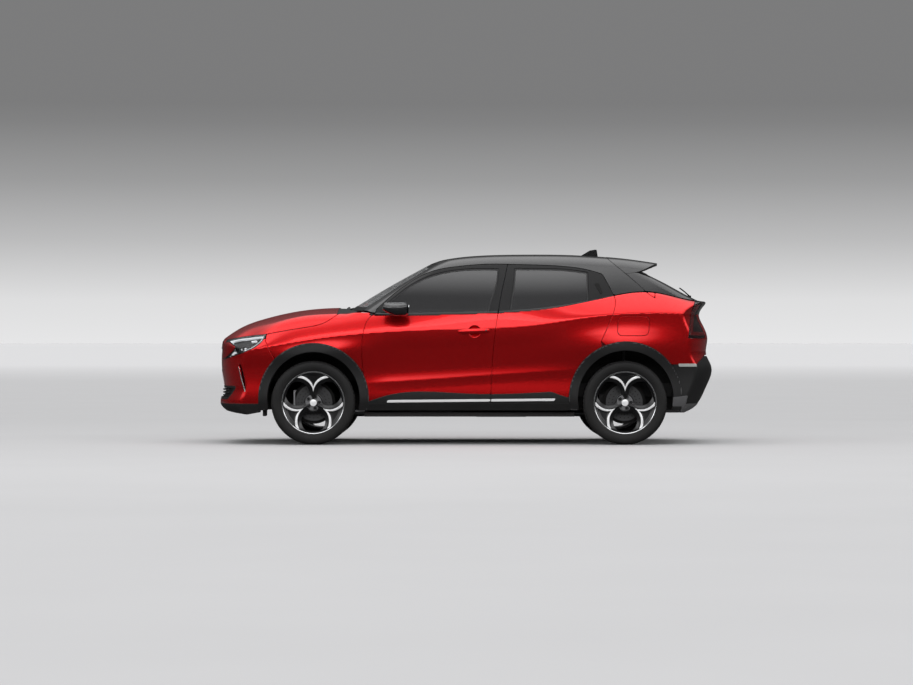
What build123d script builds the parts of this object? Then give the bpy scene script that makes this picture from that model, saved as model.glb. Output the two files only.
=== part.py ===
from build123d import *
import os

os.makedirs("parts", exist_ok=True)

# Compact five-door crossover. Millimetres, +Z up, nose towards -X, left side towards -Y,
# origin on the ground under the middle of the bodywork.

# ---- driving dimensions
front_axle_x = -1252
rear_axle_x = 1308
tyre_radius = 344
track_half = 763
side_gap = 4            # half of a shut line
cladding_proud = 4
swing_room = 26         # extra room behind the rear door, so its inside clears the arch
roof_peak = 1581
sill_bottom = 284
sill_top = 342
arch_centre_z = 380
front_arch_x = -1250
front_arch_inner = 382
front_arch_outer = 452
rear_arch_x = 1313
rear_arch_inner = 395
rear_arch_outer = 465
beyond = 2200           # past the end of the car, for cutting solids


# ---- formulas for the bodywork's surfaces
def curve_at(points, x):
    """Smooth monotone curve through (x, value) points, level beyond both ends."""
    if x <= points[0][0]:
        return points[0][1]
    if x >= points[-1][0]:
        return points[-1][1]
    count = len(points)
    steps = [
        (points[i + 1][1] - points[i][1]) / (points[i + 1][0] - points[i][0])
        for i in range(count - 1)
    ]
    slopes = [steps[0]]
    for before, after in zip(steps, steps[1:]):
        same_way = before * after > 0
        slopes.append(2 * before * after / (before + after) if same_way else 0)
    slopes.append(steps[-1])
    i = max(k for k in range(count - 1) if points[k][0] <= x)
    width = points[i + 1][0] - points[i][0]
    t = (x - points[i][0]) / width
    return (
        points[i][1] * (1 + 2 * t) * (1 - t) ** 2
        + points[i + 1][1] * t * t * (3 - 2 * t)
        + width * (slopes[i] * t * (1 - t) ** 2 - slopes[i + 1] * t * t * (1 - t))
    )


# Along the car: the widest half width, the height of the shoulder crease, the height of the
# upper edge of the lower body and the half width there.
widest = [(-2080, 760), (-1700, 852), (-1250, 884), (-850, 876), (0, 872), (700, 876),
          (1311, 886), (1700, 868), (2080, 800)]
crease_height = [(-2080, 740), (-1650, 800), (-1250, 865), (-916, 905), (-58, 946),
                 (564, 979), (903, 1034), (1216, 1074), (1837, 1073), (2080, 1060)]
upper_height = [(-2080, 800), (-1777, 868), (-1653, 955), (-1488, 1030), (-1291, 1068),
                (-1093, 1083), (-773, 1076), (35, 1090), (634, 1126), (1111, 1207),
                (1439, 1264), (1589, 1253), (1889, 1180), (2080, 1160)]
upper_width = [(-2080, 600), (-1777, 690), (-1653, 745), (-1488, 778), (-1093, 800),
               (-773, 815), (0, 838), (634, 832), (1111, 780), (1439, 722), (1889, 690),
               (2080, 640)]
tuck_below = [(284, 50), (345, 24), (420, 20), (500, 25), (600, 25), (760, 14), (1100, 0)]


def side_half_width(x, z):
    """Half width of the lower body at a station and a height."""
    crease = curve_at(crease_height, x)
    upper = curve_at(upper_height, x)
    wide = curve_at(widest, x)
    if z <= crease:
        flare = sum(
            18 * 2.718 ** (-(((x - axle) / 420) ** 2) - ((z - 800) / 170) ** 2)
            for axle in (front_axle_x, rear_axle_x)
        )
        share = min(1, (crease - z) / 160)
        return wide - curve_at(tuck_below, z) * share + flare * share
    lean = (z - crease) / (upper - crease)
    drop = wide - curve_at(upper_width, x)
    if lean <= 1:
        return wide - drop * lean ** 1.6
    return max(320, wide - drop - 0.9 * (z - upper))


def nose_sweep(y):
    """How far the nose falls back from its tip across the car."""
    return 60 * (abs(y) / 600) ** 2 + 200 * (abs(y) / 850) ** 6


def tail_sweep(y):
    """How far the tail comes forward from its tip across the car."""
    return 40 * (abs(y) / 600) ** 2 + 150 * (abs(y) / 850) ** 6


def body_profile_point(x, z, y):
    """A point of the centre line's side profile, moved to where it is at a width of y."""
    front_share = min(1, max(0, (-1450 - x) / 500))
    rear_share = min(1, max(0, (x - 1500) / 400))
    bonnet_share = min(1, max(0, (-850 - x) / 150)) * (z > 850)
    x += nose_sweep(y) * front_share - tail_sweep(y) * rear_share
    z -= 57 * (abs(y) / 780) ** 2.2 * bonnet_share
    return x, z


# Side profile of the lower body on the centre line, from the chin over the bonnet to the tail.
body_profile = [
    [(-1985, 262), (-2066, 318)],
    [(-2066, 318), (-2040, 430), (-2052, 590), (-2062, 740), (-2050, 860)],
    [(-2050, 860), (-1904, 961), (-1701, 1037), (-1397, 1105), (-1093, 1131), (-1000, 1131)],
    [(-1000, 1131), (-850, 1082)],
    [(-850, 1082), (35, 1092), (634, 1128), (1111, 1209), (1439, 1266)],
    [(1439, 1266), (1650, 1246), (1889, 1198), (2030, 1177)],
    [(2030, 1177), (1964, 1090), (1988, 1000), (2038, 870), (2024, 735)],
    [(2024, 735), (2068, 650), (2060, 540), (2004, 420), (1930, 300)],
    [(1930, 300), (1860, 262)],
    [(1860, 262), (-1985, 262)],
]

# Side profile of the windscreen, roof, tailgate lip and rear glass on the centre line.
cabin_profile = [
    [(-1160, 1000), (-891, 1164), (-637, 1316), (-435, 1428), (-302, 1500)],
    [(-302, 1500), (-232, 1535), (72, 1569), (500, 1581), (883, 1576), (1338, 1545),
     (1594, 1508)],
    [(1594, 1508), (1596, 1496)],
    [(1596, 1496), (1500, 1428)],
    [(1500, 1428), (1693, 1333), (1895, 1224), (2005, 1172)],
    [(2005, 1172), (2005, 1000)],
    [(2005, 1000), (-1160, 1000)],
]
roof_height = [(-302, 1500), (-100, 1552), (72, 1569), (500, 1581), (883, 1576), (1338, 1545),
               (1600, 1508)]
# Drop in half width above the belt, and the rounding into the roof, for the tallest section.
cabin_lean = [(1000, -40), (1090, 0), (1280, 82), (1440, 156)]
cabin_round = [(1478, 178), (1515, 208), (1545, 250), (1566, 320), (1590, 480), (1598, 815)]
belt_step = 12          # the side windows' face is this far inside the shoulder below them


def cabin_half_width(x):
    """Half width of the cabin at the height where it leans by nothing."""
    return curve_at(upper_width, x) - belt_step + curve_at(cabin_lean, curve_at(upper_height, x))


def cabin_profile_point(x, z, y):
    """A point of the cabin's centre line profile, moved to where it is at a width of y."""
    screen = min(1, max(0, (72 - x) / 374))
    backlight = min(1, max(0, (x - 1450) / 60))
    x += (150 * screen - 95 * backlight) * (abs(y) / 700) ** 2.4
    z -= 24 * (abs(y) / 560) ** 2 * (z > 1440)
    return x, z


def shares_along(points):
    """Each point's share of the way along the line through all of them."""
    steps = [((b[0] - a[0]) ** 2 + (b[1] - a[1]) ** 2) ** 0.5 for a, b in zip(points, points[1:])]
    return [sum(steps[:i]) / sum(steps) for i in range(len(points))]


def even_spline(points, shares):
    """Curve through the points that has each one at its share, so that sections match."""
    return add(Edge.make_spline([Vector(a, b) for a, b in points], parameters=shares))


def profile_solid(profile, place, widths):
    """Side profiles at several widths, joined across the car."""
    with BuildPart() as solid:
        for y in sorted({-w for w in widths} | set(widths)):
            with BuildSketch(Plane.XZ.offset(-y)):
                with BuildLine():
                    for run in profile:
                        points = [place(x, z, y) for x, z in run]
                        if len(points) == 2:
                            Line(*points)
                        else:
                            even_spline(points, shares_along(run))
                make_face()
        loft()
    return solid.part


def body_sides(inset, bottom=240, top=1300):
    """Everything between the two sides of the lower body, with both sides moved inwards."""
    even = [i / 12 for i in range(13)]
    levels = [bottom + (top - bottom) * share for share in even]
    with BuildPart() as solid:
        for x in (-beyond, -1980, -1800, -1650, -1450, -1250, -1050, -850, -400, 100, 600,
                  900, 1100, 1311, 1500, 1700, 1900, 2050, beyond):
            right = [(side_half_width(x, z) - inset, z) for z in levels]
            left = [(-y, z) for y, z in right]
            with BuildSketch(Plane.YZ.offset(x)):
                with BuildLine():
                    even_spline(right, even)
                    even_spline(left, even)
                    Line(right[0], left[0])
                    Line(right[-1], left[-1])
                make_face()
        loft()
    return solid.part


def cabin_sides(inset, rounded=True):
    """Everything between the two sides of the cabin, with both sides moved inwards."""
    shares = None
    with BuildPart() as solid:
        for x in (-1300, -1000, -700, -400, -200, 100, 500, 900, 1200, 1450, 1700, 2000):
            sunk = roof_peak - curve_at(roof_height, x)
            wide = cabin_half_width(x) - inset
            right = [(wide - lean, z) for z, lean in cabin_lean]
            if rounded:
                right += [(wide - lean, z - sunk - inset * 0.8) for z, lean in cabin_round[:-1]]
                right[3] = (right[3][0], min(right[3][1], right[4][1] - 30))
                right[2] = (right[2][0], min(right[2][1], right[3][1] - 60))
                peak = cabin_round[-1][0] - sunk - inset * 0.8
            else:
                right += [(wide - 260, 1680)]
                peak = 1680
            left = [(-y, z) for y, z in right]
            shares = shares or shares_along(right)
            with BuildSketch(Plane.YZ.offset(x)):
                with BuildLine():
                    even_spline(right, shares)
                    even_spline(left, shares)
                    if rounded:
                        ThreePointArc(right[-1], (0, peak), left[-1])
                    else:
                        Line(right[-1], left[-1])
                    Line(right[0], left[0])
                make_face()
        loft()
    return solid.part


profile_widths = (0, 350, 620, 780, 900)
body_block = profile_solid(body_profile, body_profile_point, profile_widths)
cabin_block = profile_solid(cabin_profile, cabin_profile_point, (0, 350, 620, 830))


# ---- cutting tools
def outline_points(runs):
    """Corners of an outline whose two-point runs are straight and whose longer runs are curves."""
    points = []
    for run in runs:
        if len(run) == 2:
            points.append(run[0])
        else:
            curve = Spline(*run, mode=Mode.PRIVATE)
            steps = len(run) + 1
            points += [tuple(curve @ (i / steps))[:2] for i in range(steps)]
    return points


def side_prism(runs, near=-250, far=-1060, grow=0):
    """Side-view outline, X along and Z up, carried from one Y to another."""
    with BuildPart() as prism:
        with BuildSketch(Plane.XZ.offset(-near)):
            with BuildLine():
                Polyline(*outline_points(runs), close=True)
            make_face()
            if grow:
                offset(amount=grow, kind=Kind.INTERSECTION, mode=Mode.REPLACE)
        extrude(amount=near - far)
    return prism.part


def rear_prism(points, back, front, grow=0):
    """Outline seen along the car, Y across and Z up, carried along X."""
    with BuildPart() as prism:
        with BuildSketch(Plane.YZ.offset(back)):
            with BuildLine():
                Polyline(*points, close=True)
            make_face()
            if grow:
                offset(amount=grow, kind=Kind.INTERSECTION, mode=Mode.REPLACE)
        extrude(amount=front - back)
    return prism.part


def block(x, y, z):
    """Box between two limits along each axis."""
    with BuildPart() as box:
        with Locations(((x[0] + x[1]) / 2, (y[0] + y[1]) / 2, (z[0] + z[1]) / 2)):
            Box(x[1] - x[0], y[1] - y[0], z[1] - z[0])
    return box.part


def barrel(x, z, radius, near, far):
    """Cylinder across the car between two widths."""
    with BuildPart() as round_bar:
        with BuildSketch(Plane.XZ.offset(-near)):
            with Locations((x, z)):
                Circle(radius)
        extrude(amount=near - far)
    return round_bar.part


def shared(*solids):
    """What all of the solids have in common."""
    with BuildPart() as common:
        add(solids[0])
        for solid in solids[1:]:
            add(solid, mode=Mode.INTERSECT)
    return common.part


def write(part, name):
    """Labels a finished piece and writes it to its own file."""
    part.label = name
    export_step(part, f"parts/{name}.step")


def other_side(part):
    """The same piece on the right of the car."""
    with BuildPart() as twin:
        mirror(part, about=Plane.XZ)
    return twin.part


def on_both_sides(part):
    """The piece and its twin as one node."""
    with BuildPart() as pair:
        add(part)
        mirror(part, about=Plane.XZ)
    return pair.part


sides = {inset: body_sides(inset) for inset in (-cladding_proud, 0, 5, 28, 45, 112)}
cabin = {inset: cabin_sides(inset) for inset in (0, 8, 13, 22, 27, 60)}
cabin_middle = {inset: cabin_sides(inset, rounded=False) for inset in (70, 74)}
body_outer = shared(body_block, sides[0])
cabin_outer = shared(cabin_block, cabin[0])

# ---- side-view outlines
door_split = [(201, 339), (207, 415), (225, 769), (246, 959), (269, 1102), (295, 1248),
              (319, 1356), (347, 1486)]
front_door_nose = [(-738, 1086), (-792, 1041), (-833, 959), (-850, 851), (-850, 687),
                   (-840, 564), (-826, 339)]
front_door_roof = [(347, 1486), (172, 1487), (-47, 1470), (-195, 1449), (-332, 1408),
                   (-469, 1332), (-606, 1229), (-738, 1108)]
front_door_outline = [door_split, front_door_roof, [(-738, 1108), (-738, 1086)],
                      front_door_nose, [(-826, 339), (201, 339)]]
rear_door_tail = [(1129, 1404), (1179, 1314), (1213, 1246), (1231, 1178), (1220, 1110),
                  (1179, 1000), (1110, 846)]

rear_door_roof = [(347, 1486), (639, 1478), (845, 1465), (1010, 1439), (1129, 1404)]
rear_door_outline = [door_split, rear_door_roof, rear_door_tail,
                     [(1110, 846), (1180, 339)], [(1180, 339), (201, 339)]]
front_window = [[(196, 1110), (247, 1275), (274, 1448)],
                [(274, 1448), (-58, 1441), (-195, 1418), (-332, 1376), (-469, 1303),
                 (-640, 1168)],
                [(-640, 1168), (-640, 1086)], [(-640, 1086), (196, 1110)]]
rear_window = [[(368, 1120), (404, 1452)],
               [(404, 1452), (639, 1450), (845, 1441), (1009, 1418)],
               [(1009, 1418), (1009, 1206)],
               [(1009, 1206), (908, 1180), (634, 1140), (368, 1120)]]
front_door_inside = [[(165, 392), (185, 760), (210, 960), (240, 1150)],
                     [(240, 1150), (-690, 1150)], [(-690, 1150), (-690, 1060)],
                     [(-690, 1060), (-752, 1020), (-800, 940), (-812, 700), (-798, 392)],
                     [(-798, 392), (165, 392)]]
rear_door_inside = [[(262, 392), (262, 760), (278, 960), (300, 1150)],
                    [(300, 1150), (900, 1260)], [(900, 1260), (1150, 1260)],
                    [(1150, 1260), (1186, 1120), (1150, 1000), (1100, 880)],
                    [(1100, 880), (1100, 392)], [(1100, 392), (262, 392)]]
bonnet_edge = [[(-2200, 852), (-1974, 865), (-1892, 879), (-1640, 907), (-1422, 946),
                (-1286, 968), (-1176, 995), (-1095, 1042), (-1047, 1075)],
               [(-1047, 1075), (-1075, 1300)], [(-1075, 1300), (-2200, 1300)],
               [(-2200, 1300), (-2200, 852)]]
lamp_outline = [[(-2200, 852), (-1974, 865), (-1892, 879), (-1640, 907)],
                [(-1640, 907), (-1673, 851), (-1741, 795), (-1837, 752), (-1933, 722),
                 (-2000, 700)],
                [(-2000, 700), (-2200, 690)], [(-2200, 690), (-2200, 852)]]
bumper_outline = [[(-2200, 852), (-1974, 865), (-1892, 879), (-1640, 907)],
                  [(-1640, 907), (-1645, 851)], [(-1645, 851), (-1602, 755)],
                  [(-1602, 755), (-1500, 600)], [(-1500, 600), (-1500, 240)],
                  [(-1500, 240), (-2200, 240)], [(-2200, 240), (-2200, 852)]]
fender_outline = [[(-1640, 907), (-1422, 946), (-1286, 968), (-1176, 995), (-1095, 1042),
                   (-1047, 1075)],
                  [(-1047, 1075), (-1000, 1083), (-836, 1086), (-738, 1086)],
                  front_door_nose[:-1] + [(-842, 500)],
                  [(-842, 500), (-1400, 600)], [(-1400, 600), (-1602, 755)],
                  [(-1602, 755), (-1645, 851)], [(-1645, 851), (-1640, 907)]]
tailgate_outline = [[(1185, 1700), (1185, 1527)], [(1185, 1527), (1326, 1406)],
                    [(1326, 1406), (1463, 1283), (1532, 1221), (1600, 1186)],
                    [(1600, 1186), (2200, 1150)], [(2200, 1150), (2200, 1700)],
                    [(2200, 1700), (1185, 1700)]]
tailgate_rear = [(-545, 735), (-560, 1030), (-600, 1160), (-600, 1230), (600, 1230),
                 (600, 1160), (560, 1030), (545, 735)]
quarter_outline = [rear_door_tail[1:], [(1110, 846), (1300, 700)],
                   [(1300, 700), (1712, 658)], [(1712, 658), (1897, 658)],
                   [(1897, 658), (1975, 728)], [(1975, 728), (2200, 728)],
                   [(2200, 728), (2200, 1250)], [(2200, 1250), (1589, 1275)],
                   [(1589, 1275), (1439, 1278)], [(1439, 1278), (1179, 1314)]]
rear_lamp_outline = [[(1828, 872), (1846, 1010), (1860, 1085), (1904, 1183)],
                     [(1904, 1183), (2200, 1183)], [(2200, 1183), (2200, 1100)],
                     [(2200, 1100), (1965, 1090)],
                     [(1965, 1090), (1945, 1020), (1892, 872)],
                     [(1892, 872), (1828, 872)]]
rear_bumper_outline = [[(1313, 658), (1897, 658)], [(1897, 658), (1975, 728)],
                       [(1975, 728), (2200, 728)], [(2200, 728), (2200, 240)],
                       [(2200, 240), (1313, 240)], [(1313, 240), (1313, 658)]]
flap_outline = [[(1262, 894), (1482, 894)], [(1482, 894), (1500, 912)],
                [(1500, 912), (1508, 1034)], [(1508, 1034), (1488, 1054)],
                [(1488, 1054), (1272, 1054)], [(1272, 1054), (1248, 1030)],
                [(1248, 1030), (1242, 914)], [(1242, 914), (1262, 894)]]
wheel_places = {"front_left": (front_axle_x, -1), "front_right": (front_axle_x, 1),
                "rear_left": (rear_axle_x, -1), "rear_right": (rear_axle_x, 1)}
across = (-1100, 1100)

door_hole_front = side_prism(front_door_outline, grow=side_gap)
door_hole_rear = side_prism(rear_door_outline, grow=side_gap)
rear_ring_clear = barrel(rear_arch_x, arch_centre_z, rear_arch_outer + 2 * side_gap, -500,
                         -1100)
rear_swing_clear = barrel(rear_arch_x, arch_centre_z, rear_arch_outer + swing_room, -500, -1100)
front_ring_clear = barrel(front_arch_x, arch_centre_z, front_arch_outer + 1, -500, -1100)


# ---- the left half of the bodywork in layers
left_half = block((-beyond, beyond), (-1100, -250), (200, 1700))
left_above_belt = block((-1000, 1560), (-1100, -250), (1045, 1700))


def layer(outer, inner, *within):
    """What outer and all of within share, less inner."""
    with BuildPart() as shell:
        add(outer)
        for solid in within:
            add(solid, mode=Mode.INTERSECT)
        add(inner, mode=Mode.SUBTRACT)
    return shell.part


left_skin = layer(body_outer, sides[28], left_half)
left_inside = layer(body_block, sides[112], sides[5], left_half)
left_frame = layer(cabin[0], cabin[22], left_above_belt)


# ---- doors
def make_door(outline, window, inside, arch=None):
    """Outer panel, the thick lower part behind it and the frame round the window."""
    panel = side_prism(outline, grow=-side_gap)
    with BuildPart() as door:
        add(shared(left_inside, side_prism(inside)))
        if arch:
            add(rear_swing_clear, mode=Mode.SUBTRACT)
        add(shared(left_skin, panel))
        add(shared(left_frame, panel))
        add(side_prism(window), mode=Mode.SUBTRACT)
        if arch:
            add(arch, mode=Mode.SUBTRACT)
    return door.part


def make_window(window):
    """Side window pane, flush in its opening."""
    with BuildPart() as pane:
        add(shared(side_prism(window), cabin[8]))
        add(cabin[13], mode=Mode.SUBTRACT)
    return pane.part


front_door = make_door(front_door_outline, front_window, front_door_inside)
rear_door = make_door(rear_door_outline, rear_window, rear_door_inside, rear_ring_clear)
front_pane = make_window(front_window)
rear_pane = make_window(rear_window)
for name, piece in (("front_door", front_door), ("rear_door", rear_door),
                    ("front_door_glass", front_pane), ("rear_door_glass", rear_pane)):
    write(piece, f"{name}_left")
    write(other_side(piece), f"{name}_right")

# ---- door mirrors: a rounded housing on a short arm at the window's front corner
with BuildPart() as mirror_left:
    with BuildSketch(Plane.XZ.offset(870)):
        with Locations((-575, 1108)):
            RectangleRounded(190, 86, 32)
    with BuildSketch(Plane.XZ.offset(990)):
        with Locations((-576, 1110)):
            RectangleRounded(216, 104, 40)
    with BuildSketch(Plane.XZ.offset(1040)):
        with Locations((-580, 1110)):
            RectangleRounded(160, 76, 34)
    loft()
    with BuildSketch(Plane.XZ.offset(846)):
        with Locations((-580, 1096)):
            RectangleRounded(96, 40, 14)
    extrude(amount=34)
    add(front_door, mode=Mode.SUBTRACT)
    add(front_pane, mode=Mode.SUBTRACT)
write(mirror_left.part, "door_mirror_left")
write(other_side(mirror_left.part), "door_mirror_right")

# ---- bonnet, fenders and nose
body_below_30 = body_outer.moved(Location((0, 0, -30)))
body_behind_nose = body_outer.moved(Location((55, 0, -8)))
full_width = {"near": 1100, "far": -1100}
bonnet_prism = side_prism(bonnet_edge, grow=-side_gap, **full_width)
with BuildPart() as bonnet:
    add(shared(body_outer, bonnet_prism, block((-1990, -1060), across, (800, 1300))))
    add(shared(body_below_30, sides[45]), mode=Mode.SUBTRACT)
write(bonnet.part, "bonnet")

fender_prism = side_prism(fender_outline, grow=-side_gap)
with BuildPart() as fender_left:
    add(shared(left_skin, fender_prism))
    add(front_ring_clear, mode=Mode.SUBTRACT)
write(on_both_sides(fender_left.part), "front_fenders")

nose_end = block((-beyond, -1700), across, (200, 1300))
lamp_prism = side_prism(lamp_outline, near=-430, grow=-side_gap)
lamp_gap = side_prism(lamp_outline, near=-427, grow=-side_gap + 2)
with BuildPart() as lamp_left:
    add(shared(body_outer, lamp_prism))
    add(shared(body_outer.moved(Location((95, 0, 0))), sides[112]), mode=Mode.SUBTRACT)
write(on_both_sides(lamp_left.part), "headlamps")

grille_opening = [(-340, 600), (-390, 800), (390, 800), (340, 600)]
intake_opening = [(-560, 372), (-610, 470), (610, 470), (560, 372)]
with BuildPart() as nose_openings:
    add(rear_prism(grille_opening, -beyond, -1700))
    add(rear_prism(intake_opening, -beyond, -1700))
bumper_prism = side_prism(bumper_outline, grow=-side_gap, **full_width)
tow_eye_y = 360
tow_eye_z = 540
tow_eye_radius = 9
with BuildPart() as front_bumper:
    add(shared(body_outer, bumper_prism))
    add(shared(body_behind_nose, sides[45]), mode=Mode.SUBTRACT)
    add(on_both_sides(lamp_gap), mode=Mode.SUBTRACT)
    add(on_both_sides(front_ring_clear), mode=Mode.SUBTRACT)
    add(nose_openings.part, mode=Mode.SUBTRACT)
    with Locations((-2000, -tow_eye_y, tow_eye_z)):
        Cylinder(26, 300, rotation=(0, 90, 0), mode=Mode.SUBTRACT)
write(front_bumper.part, "front_bumper")

with BuildPart() as front_grille:
    add(shared(body_outer.moved(Location((24, 0, 0))), nose_openings.part))
    add(body_outer.moved(Location((44, 0, 0))), mode=Mode.SUBTRACT)
write(front_grille.part, "front_grille")

# ---- cabin's fixed glass, cowl and roof
cabin_below = {drop: cabin_outer.moved(Location((0, 0, -drop))) for drop in (6, 35)}
screen_zone = block((-1160, -304), across, (1066, 1600))
with BuildPart() as windscreen:
    add(shared(cabin_outer, cabin_middle[74], screen_zone))
    add(cabin_below[6], mode=Mode.SUBTRACT)
write(windscreen.part, "windscreen")

with BuildPart() as cowl_panel:
    add(shared(body_outer, sides[45], block((-1052, -910), across, (1000, 1200))))
    add(body_below_30, mode=Mode.SUBTRACT)
    add(cabin_block.moved(Location((0, 0, 3))), mode=Mode.SUBTRACT)
write(cowl_panel.part, "cowl_panel")

with BuildPart() as roof_panel:
    add(shared(cabin_outer, cabin_middle[74], block((-300, 1182), across, (1400, 1700))))
    add(cabin_below[35], mode=Mode.SUBTRACT)
write(roof_panel.part, "roof_panel")

with BuildPart() as antenna_fin:
    with BuildSketch(Plane.XZ):
        with BuildLine():
            Polyline((975, 1572), (1052, 1618), (1100, 1626), (1112, 1622), (1120, 1568),
                     (1120, 1560), (975, 1560), close=True)
        make_face()
    extrude(amount=19, both=True)
    add(cabin_outer.moved(Location((0, 0, 1))), mode=Mode.SUBTRACT)
write(antenna_fin.part, "antenna_fin")

# ---- tailgate with its lip, rear glass, tail lamps and rear bumper
rear_glass_plan = [(1560, -560), (1930, -596), (1930, 596), (1560, 560)]
with BuildPart() as rear_glass_hole:
    with BuildSketch(Plane.XY.offset(1130)):
        with BuildLine():
            Polyline(*rear_glass_plan, close=True)
        make_face()
    extrude(amount=330)
tail_zone = block((1120, beyond), across, (700, 1700))
upper_prism = side_prism(tailgate_outline, grow=-side_gap, **full_width)
tail_block = rear_prism(tailgate_rear, 1560, beyond)
body_before_tail = body_outer.moved(Location((-60, 0, -35)))
lower_sides = block((1200, beyond), (-1000, -600), (1000, 1290))
shoulder = shared(body_block.moved(Location((0, 0, 6))), sides[-cladding_proud],
                  on_both_sides(lower_sides))
with BuildPart() as tailgate:
    add(shared(cabin_outer, upper_prism, block((1100, 1955), across, (1000, 1700))))
    add(shared(cabin_below[35], cabin[60]), mode=Mode.SUBTRACT)
    add(shoulder, mode=Mode.SUBTRACT)
    add(shared(body_outer, tail_block, block((1930, beyond), across, (735, 1200))))
    add(rear_glass_hole.part, mode=Mode.SUBTRACT)
write(tailgate.part, "tailgate")

with BuildPart() as rear_glass:
    add(shared(cabin_outer, rear_glass_hole.part))
    add(cabin_below[6], mode=Mode.SUBTRACT)
write(rear_glass.part, "rear_glass")

tail_step = body_outer.moved(Location((-95, 0, 0)))
lamp_block = side_prism(rear_lamp_outline, near=-430, grow=-side_gap)
lamp_cut = side_prism(rear_lamp_outline, near=-430, grow=side_gap)
tail_cut = rear_prism(tailgate_rear, 1560, beyond, grow=2 * side_gap)
with BuildPart() as tail_lamp_left:
    add(shared(body_outer, lamp_block))
    add(shared(tail_step, sides[112]), mode=Mode.SUBTRACT)
    add(tail_cut, mode=Mode.SUBTRACT)
    add(side_prism(tailgate_outline, grow=side_gap), mode=Mode.SUBTRACT)
write(on_both_sides(tail_lamp_left.part), "tail_lamps")

rear_bumper_prism = side_prism(rear_bumper_outline, grow=-side_gap, **full_width)
rear_ring_hole = barrel(rear_arch_x, arch_centre_z, rear_arch_inner, -500, -1100)
with BuildPart() as rear_bumper:
    add(shared(body_outer, rear_bumper_prism))
    add(shared(body_before_tail, sides[45]), mode=Mode.SUBTRACT)
    add(on_both_sides(barrel(rear_arch_x, arch_centre_z, rear_arch_inner + 1, -500, -1100)),
        mode=Mode.SUBTRACT)
    add(block((1300, 1640), across, (240, 700)), mode=Mode.SUBTRACT)
write(rear_bumper.part, "rear_bumper")

# ---- side frames: sill, pillars, roof rail and rear quarter
front_inner_gap = side_prism(front_door_inside, grow=12)
rear_inner_gap = side_prism(rear_door_inside, grow=12)
ring_region = [[(-905, 288), (-905, 1060)], [(-905, 1060), (1258, 1230)],
               [(1258, 1230), (1258, 288)], [(1258, 288), (-905, 288)]]
quarter_prism = side_prism(quarter_outline, near=-250, grow=-side_gap)
quarter_whole = side_prism(quarter_outline, near=-546, grow=-side_gap)
quarter_behind = shared(body_before_tail, sides[45])
tail_opening = side_prism(tailgate_outline, grow=side_gap)
flap_hole = side_prism(flap_outline, near=-760, grow=side_gap)
with BuildPart() as flap_left:
    add(shared(side_prism(flap_outline, near=-760, grow=-side_gap), body_outer))
    add(sides[0].moved(Location((0, 12, 0))), mode=Mode.SUBTRACT)
write(flap_left.part, "filler_flap")

aperture = layer(sides[45], sides[112], body_block, left_half)
front_well = barrel(front_arch_x, arch_centre_z, 412, -300, -1100)
rear_well = barrel(rear_arch_x, arch_centre_z, 412, -300, -1100)


def make_side_frame(with_flap):
    """One welded side: the ring round both doors, the roof rail, pillars and rear quarter."""
    with BuildPart() as side:
        add(shared(aperture, side_prism(ring_region)))
        add(front_inner_gap, mode=Mode.SUBTRACT)
        add(rear_inner_gap, mode=Mode.SUBTRACT)
        add(shared(door_space.part, left_above_belt), mode=Mode.SUBTRACT)
        add(front_well, mode=Mode.SUBTRACT)
        add(rear_well, mode=Mode.SUBTRACT)
        add(upper_side)
        add(quarter_skin)
        if with_flap:
            add(flap_hole, mode=Mode.SUBTRACT)
            add(flap_seat)
    return side.part


with BuildPart() as upper_frame:
    add(shared(cabin_outer, block((-1130, 1560), (-1000, -300), (1089, 1700))))
    add(cabin_middle[70], mode=Mode.SUBTRACT)
    add(cabin[60], mode=Mode.SUBTRACT)
    add(side_prism(front_window, grow=14), mode=Mode.SUBTRACT)
    add(side_prism(rear_window, grow=14), mode=Mode.SUBTRACT)
    add(tail_opening, mode=Mode.SUBTRACT)
with BuildPart() as door_space:
    add(door_hole_front)
    add(door_hole_rear)
    add(cabin[27], mode=Mode.SUBTRACT)
with BuildPart() as upper_side_part:
    add(upper_frame.part)
    add(door_space.part, mode=Mode.SUBTRACT)
    add(front_inner_gap, mode=Mode.SUBTRACT)
    add(rear_inner_gap, mode=Mode.SUBTRACT)
upper_side = upper_side_part.part
with BuildPart() as quarter_part:
    add(shared(body_outer, quarter_whole))
    add(quarter_behind, mode=Mode.SUBTRACT)
    add(rear_ring_clear, mode=Mode.SUBTRACT)
    add(lamp_cut, mode=Mode.SUBTRACT)
    add(tail_cut, mode=Mode.SUBTRACT)
    add(shared(tail_opening, block((1100, 1540), (-1100, -250), (1100, 1700))),
        mode=Mode.SUBTRACT)
    add(door_hole_rear, mode=Mode.SUBTRACT)
quarter_skin = quarter_part.part
with BuildPart() as flap_seat_part:
    add(shared(flap_hole, sides[28]))
    add(sides[45], mode=Mode.SUBTRACT)
flap_seat = flap_seat_part.part
write(make_side_frame(True), "side_frame_left")
write(other_side(make_side_frame(False)), "side_frame_right")

# ---- wheel arch and sill cladding
front_arch_hole = barrel(front_arch_x, arch_centre_z, front_arch_inner, -500, -1100)
with BuildPart() as cladding_zone:
    add(barrel(front_arch_x, arch_centre_z, front_arch_outer, -760, -1100))
    add(barrel(rear_arch_x, arch_centre_z, rear_arch_outer, -760, -1100))
    add(block((-860, 900), (-1100, -700), (sill_bottom, sill_top - 6)))
with BuildPart() as cladding_left:
    add(shared(cladding_zone.part, sides[-cladding_proud],
               block((-beyond, beyond), (-1100, -700), (sill_bottom, 1000))))
    add(sides[28], mode=Mode.SUBTRACT)
    add(front_arch_hole, mode=Mode.SUBTRACT)
    add(rear_ring_hole, mode=Mode.SUBTRACT)
    add(door_hole_front, mode=Mode.SUBTRACT)
    add(rear_bumper_prism, mode=Mode.SUBTRACT)
write(on_both_sides(cladding_left.part), "arch_and_sill_cladding")

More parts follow.
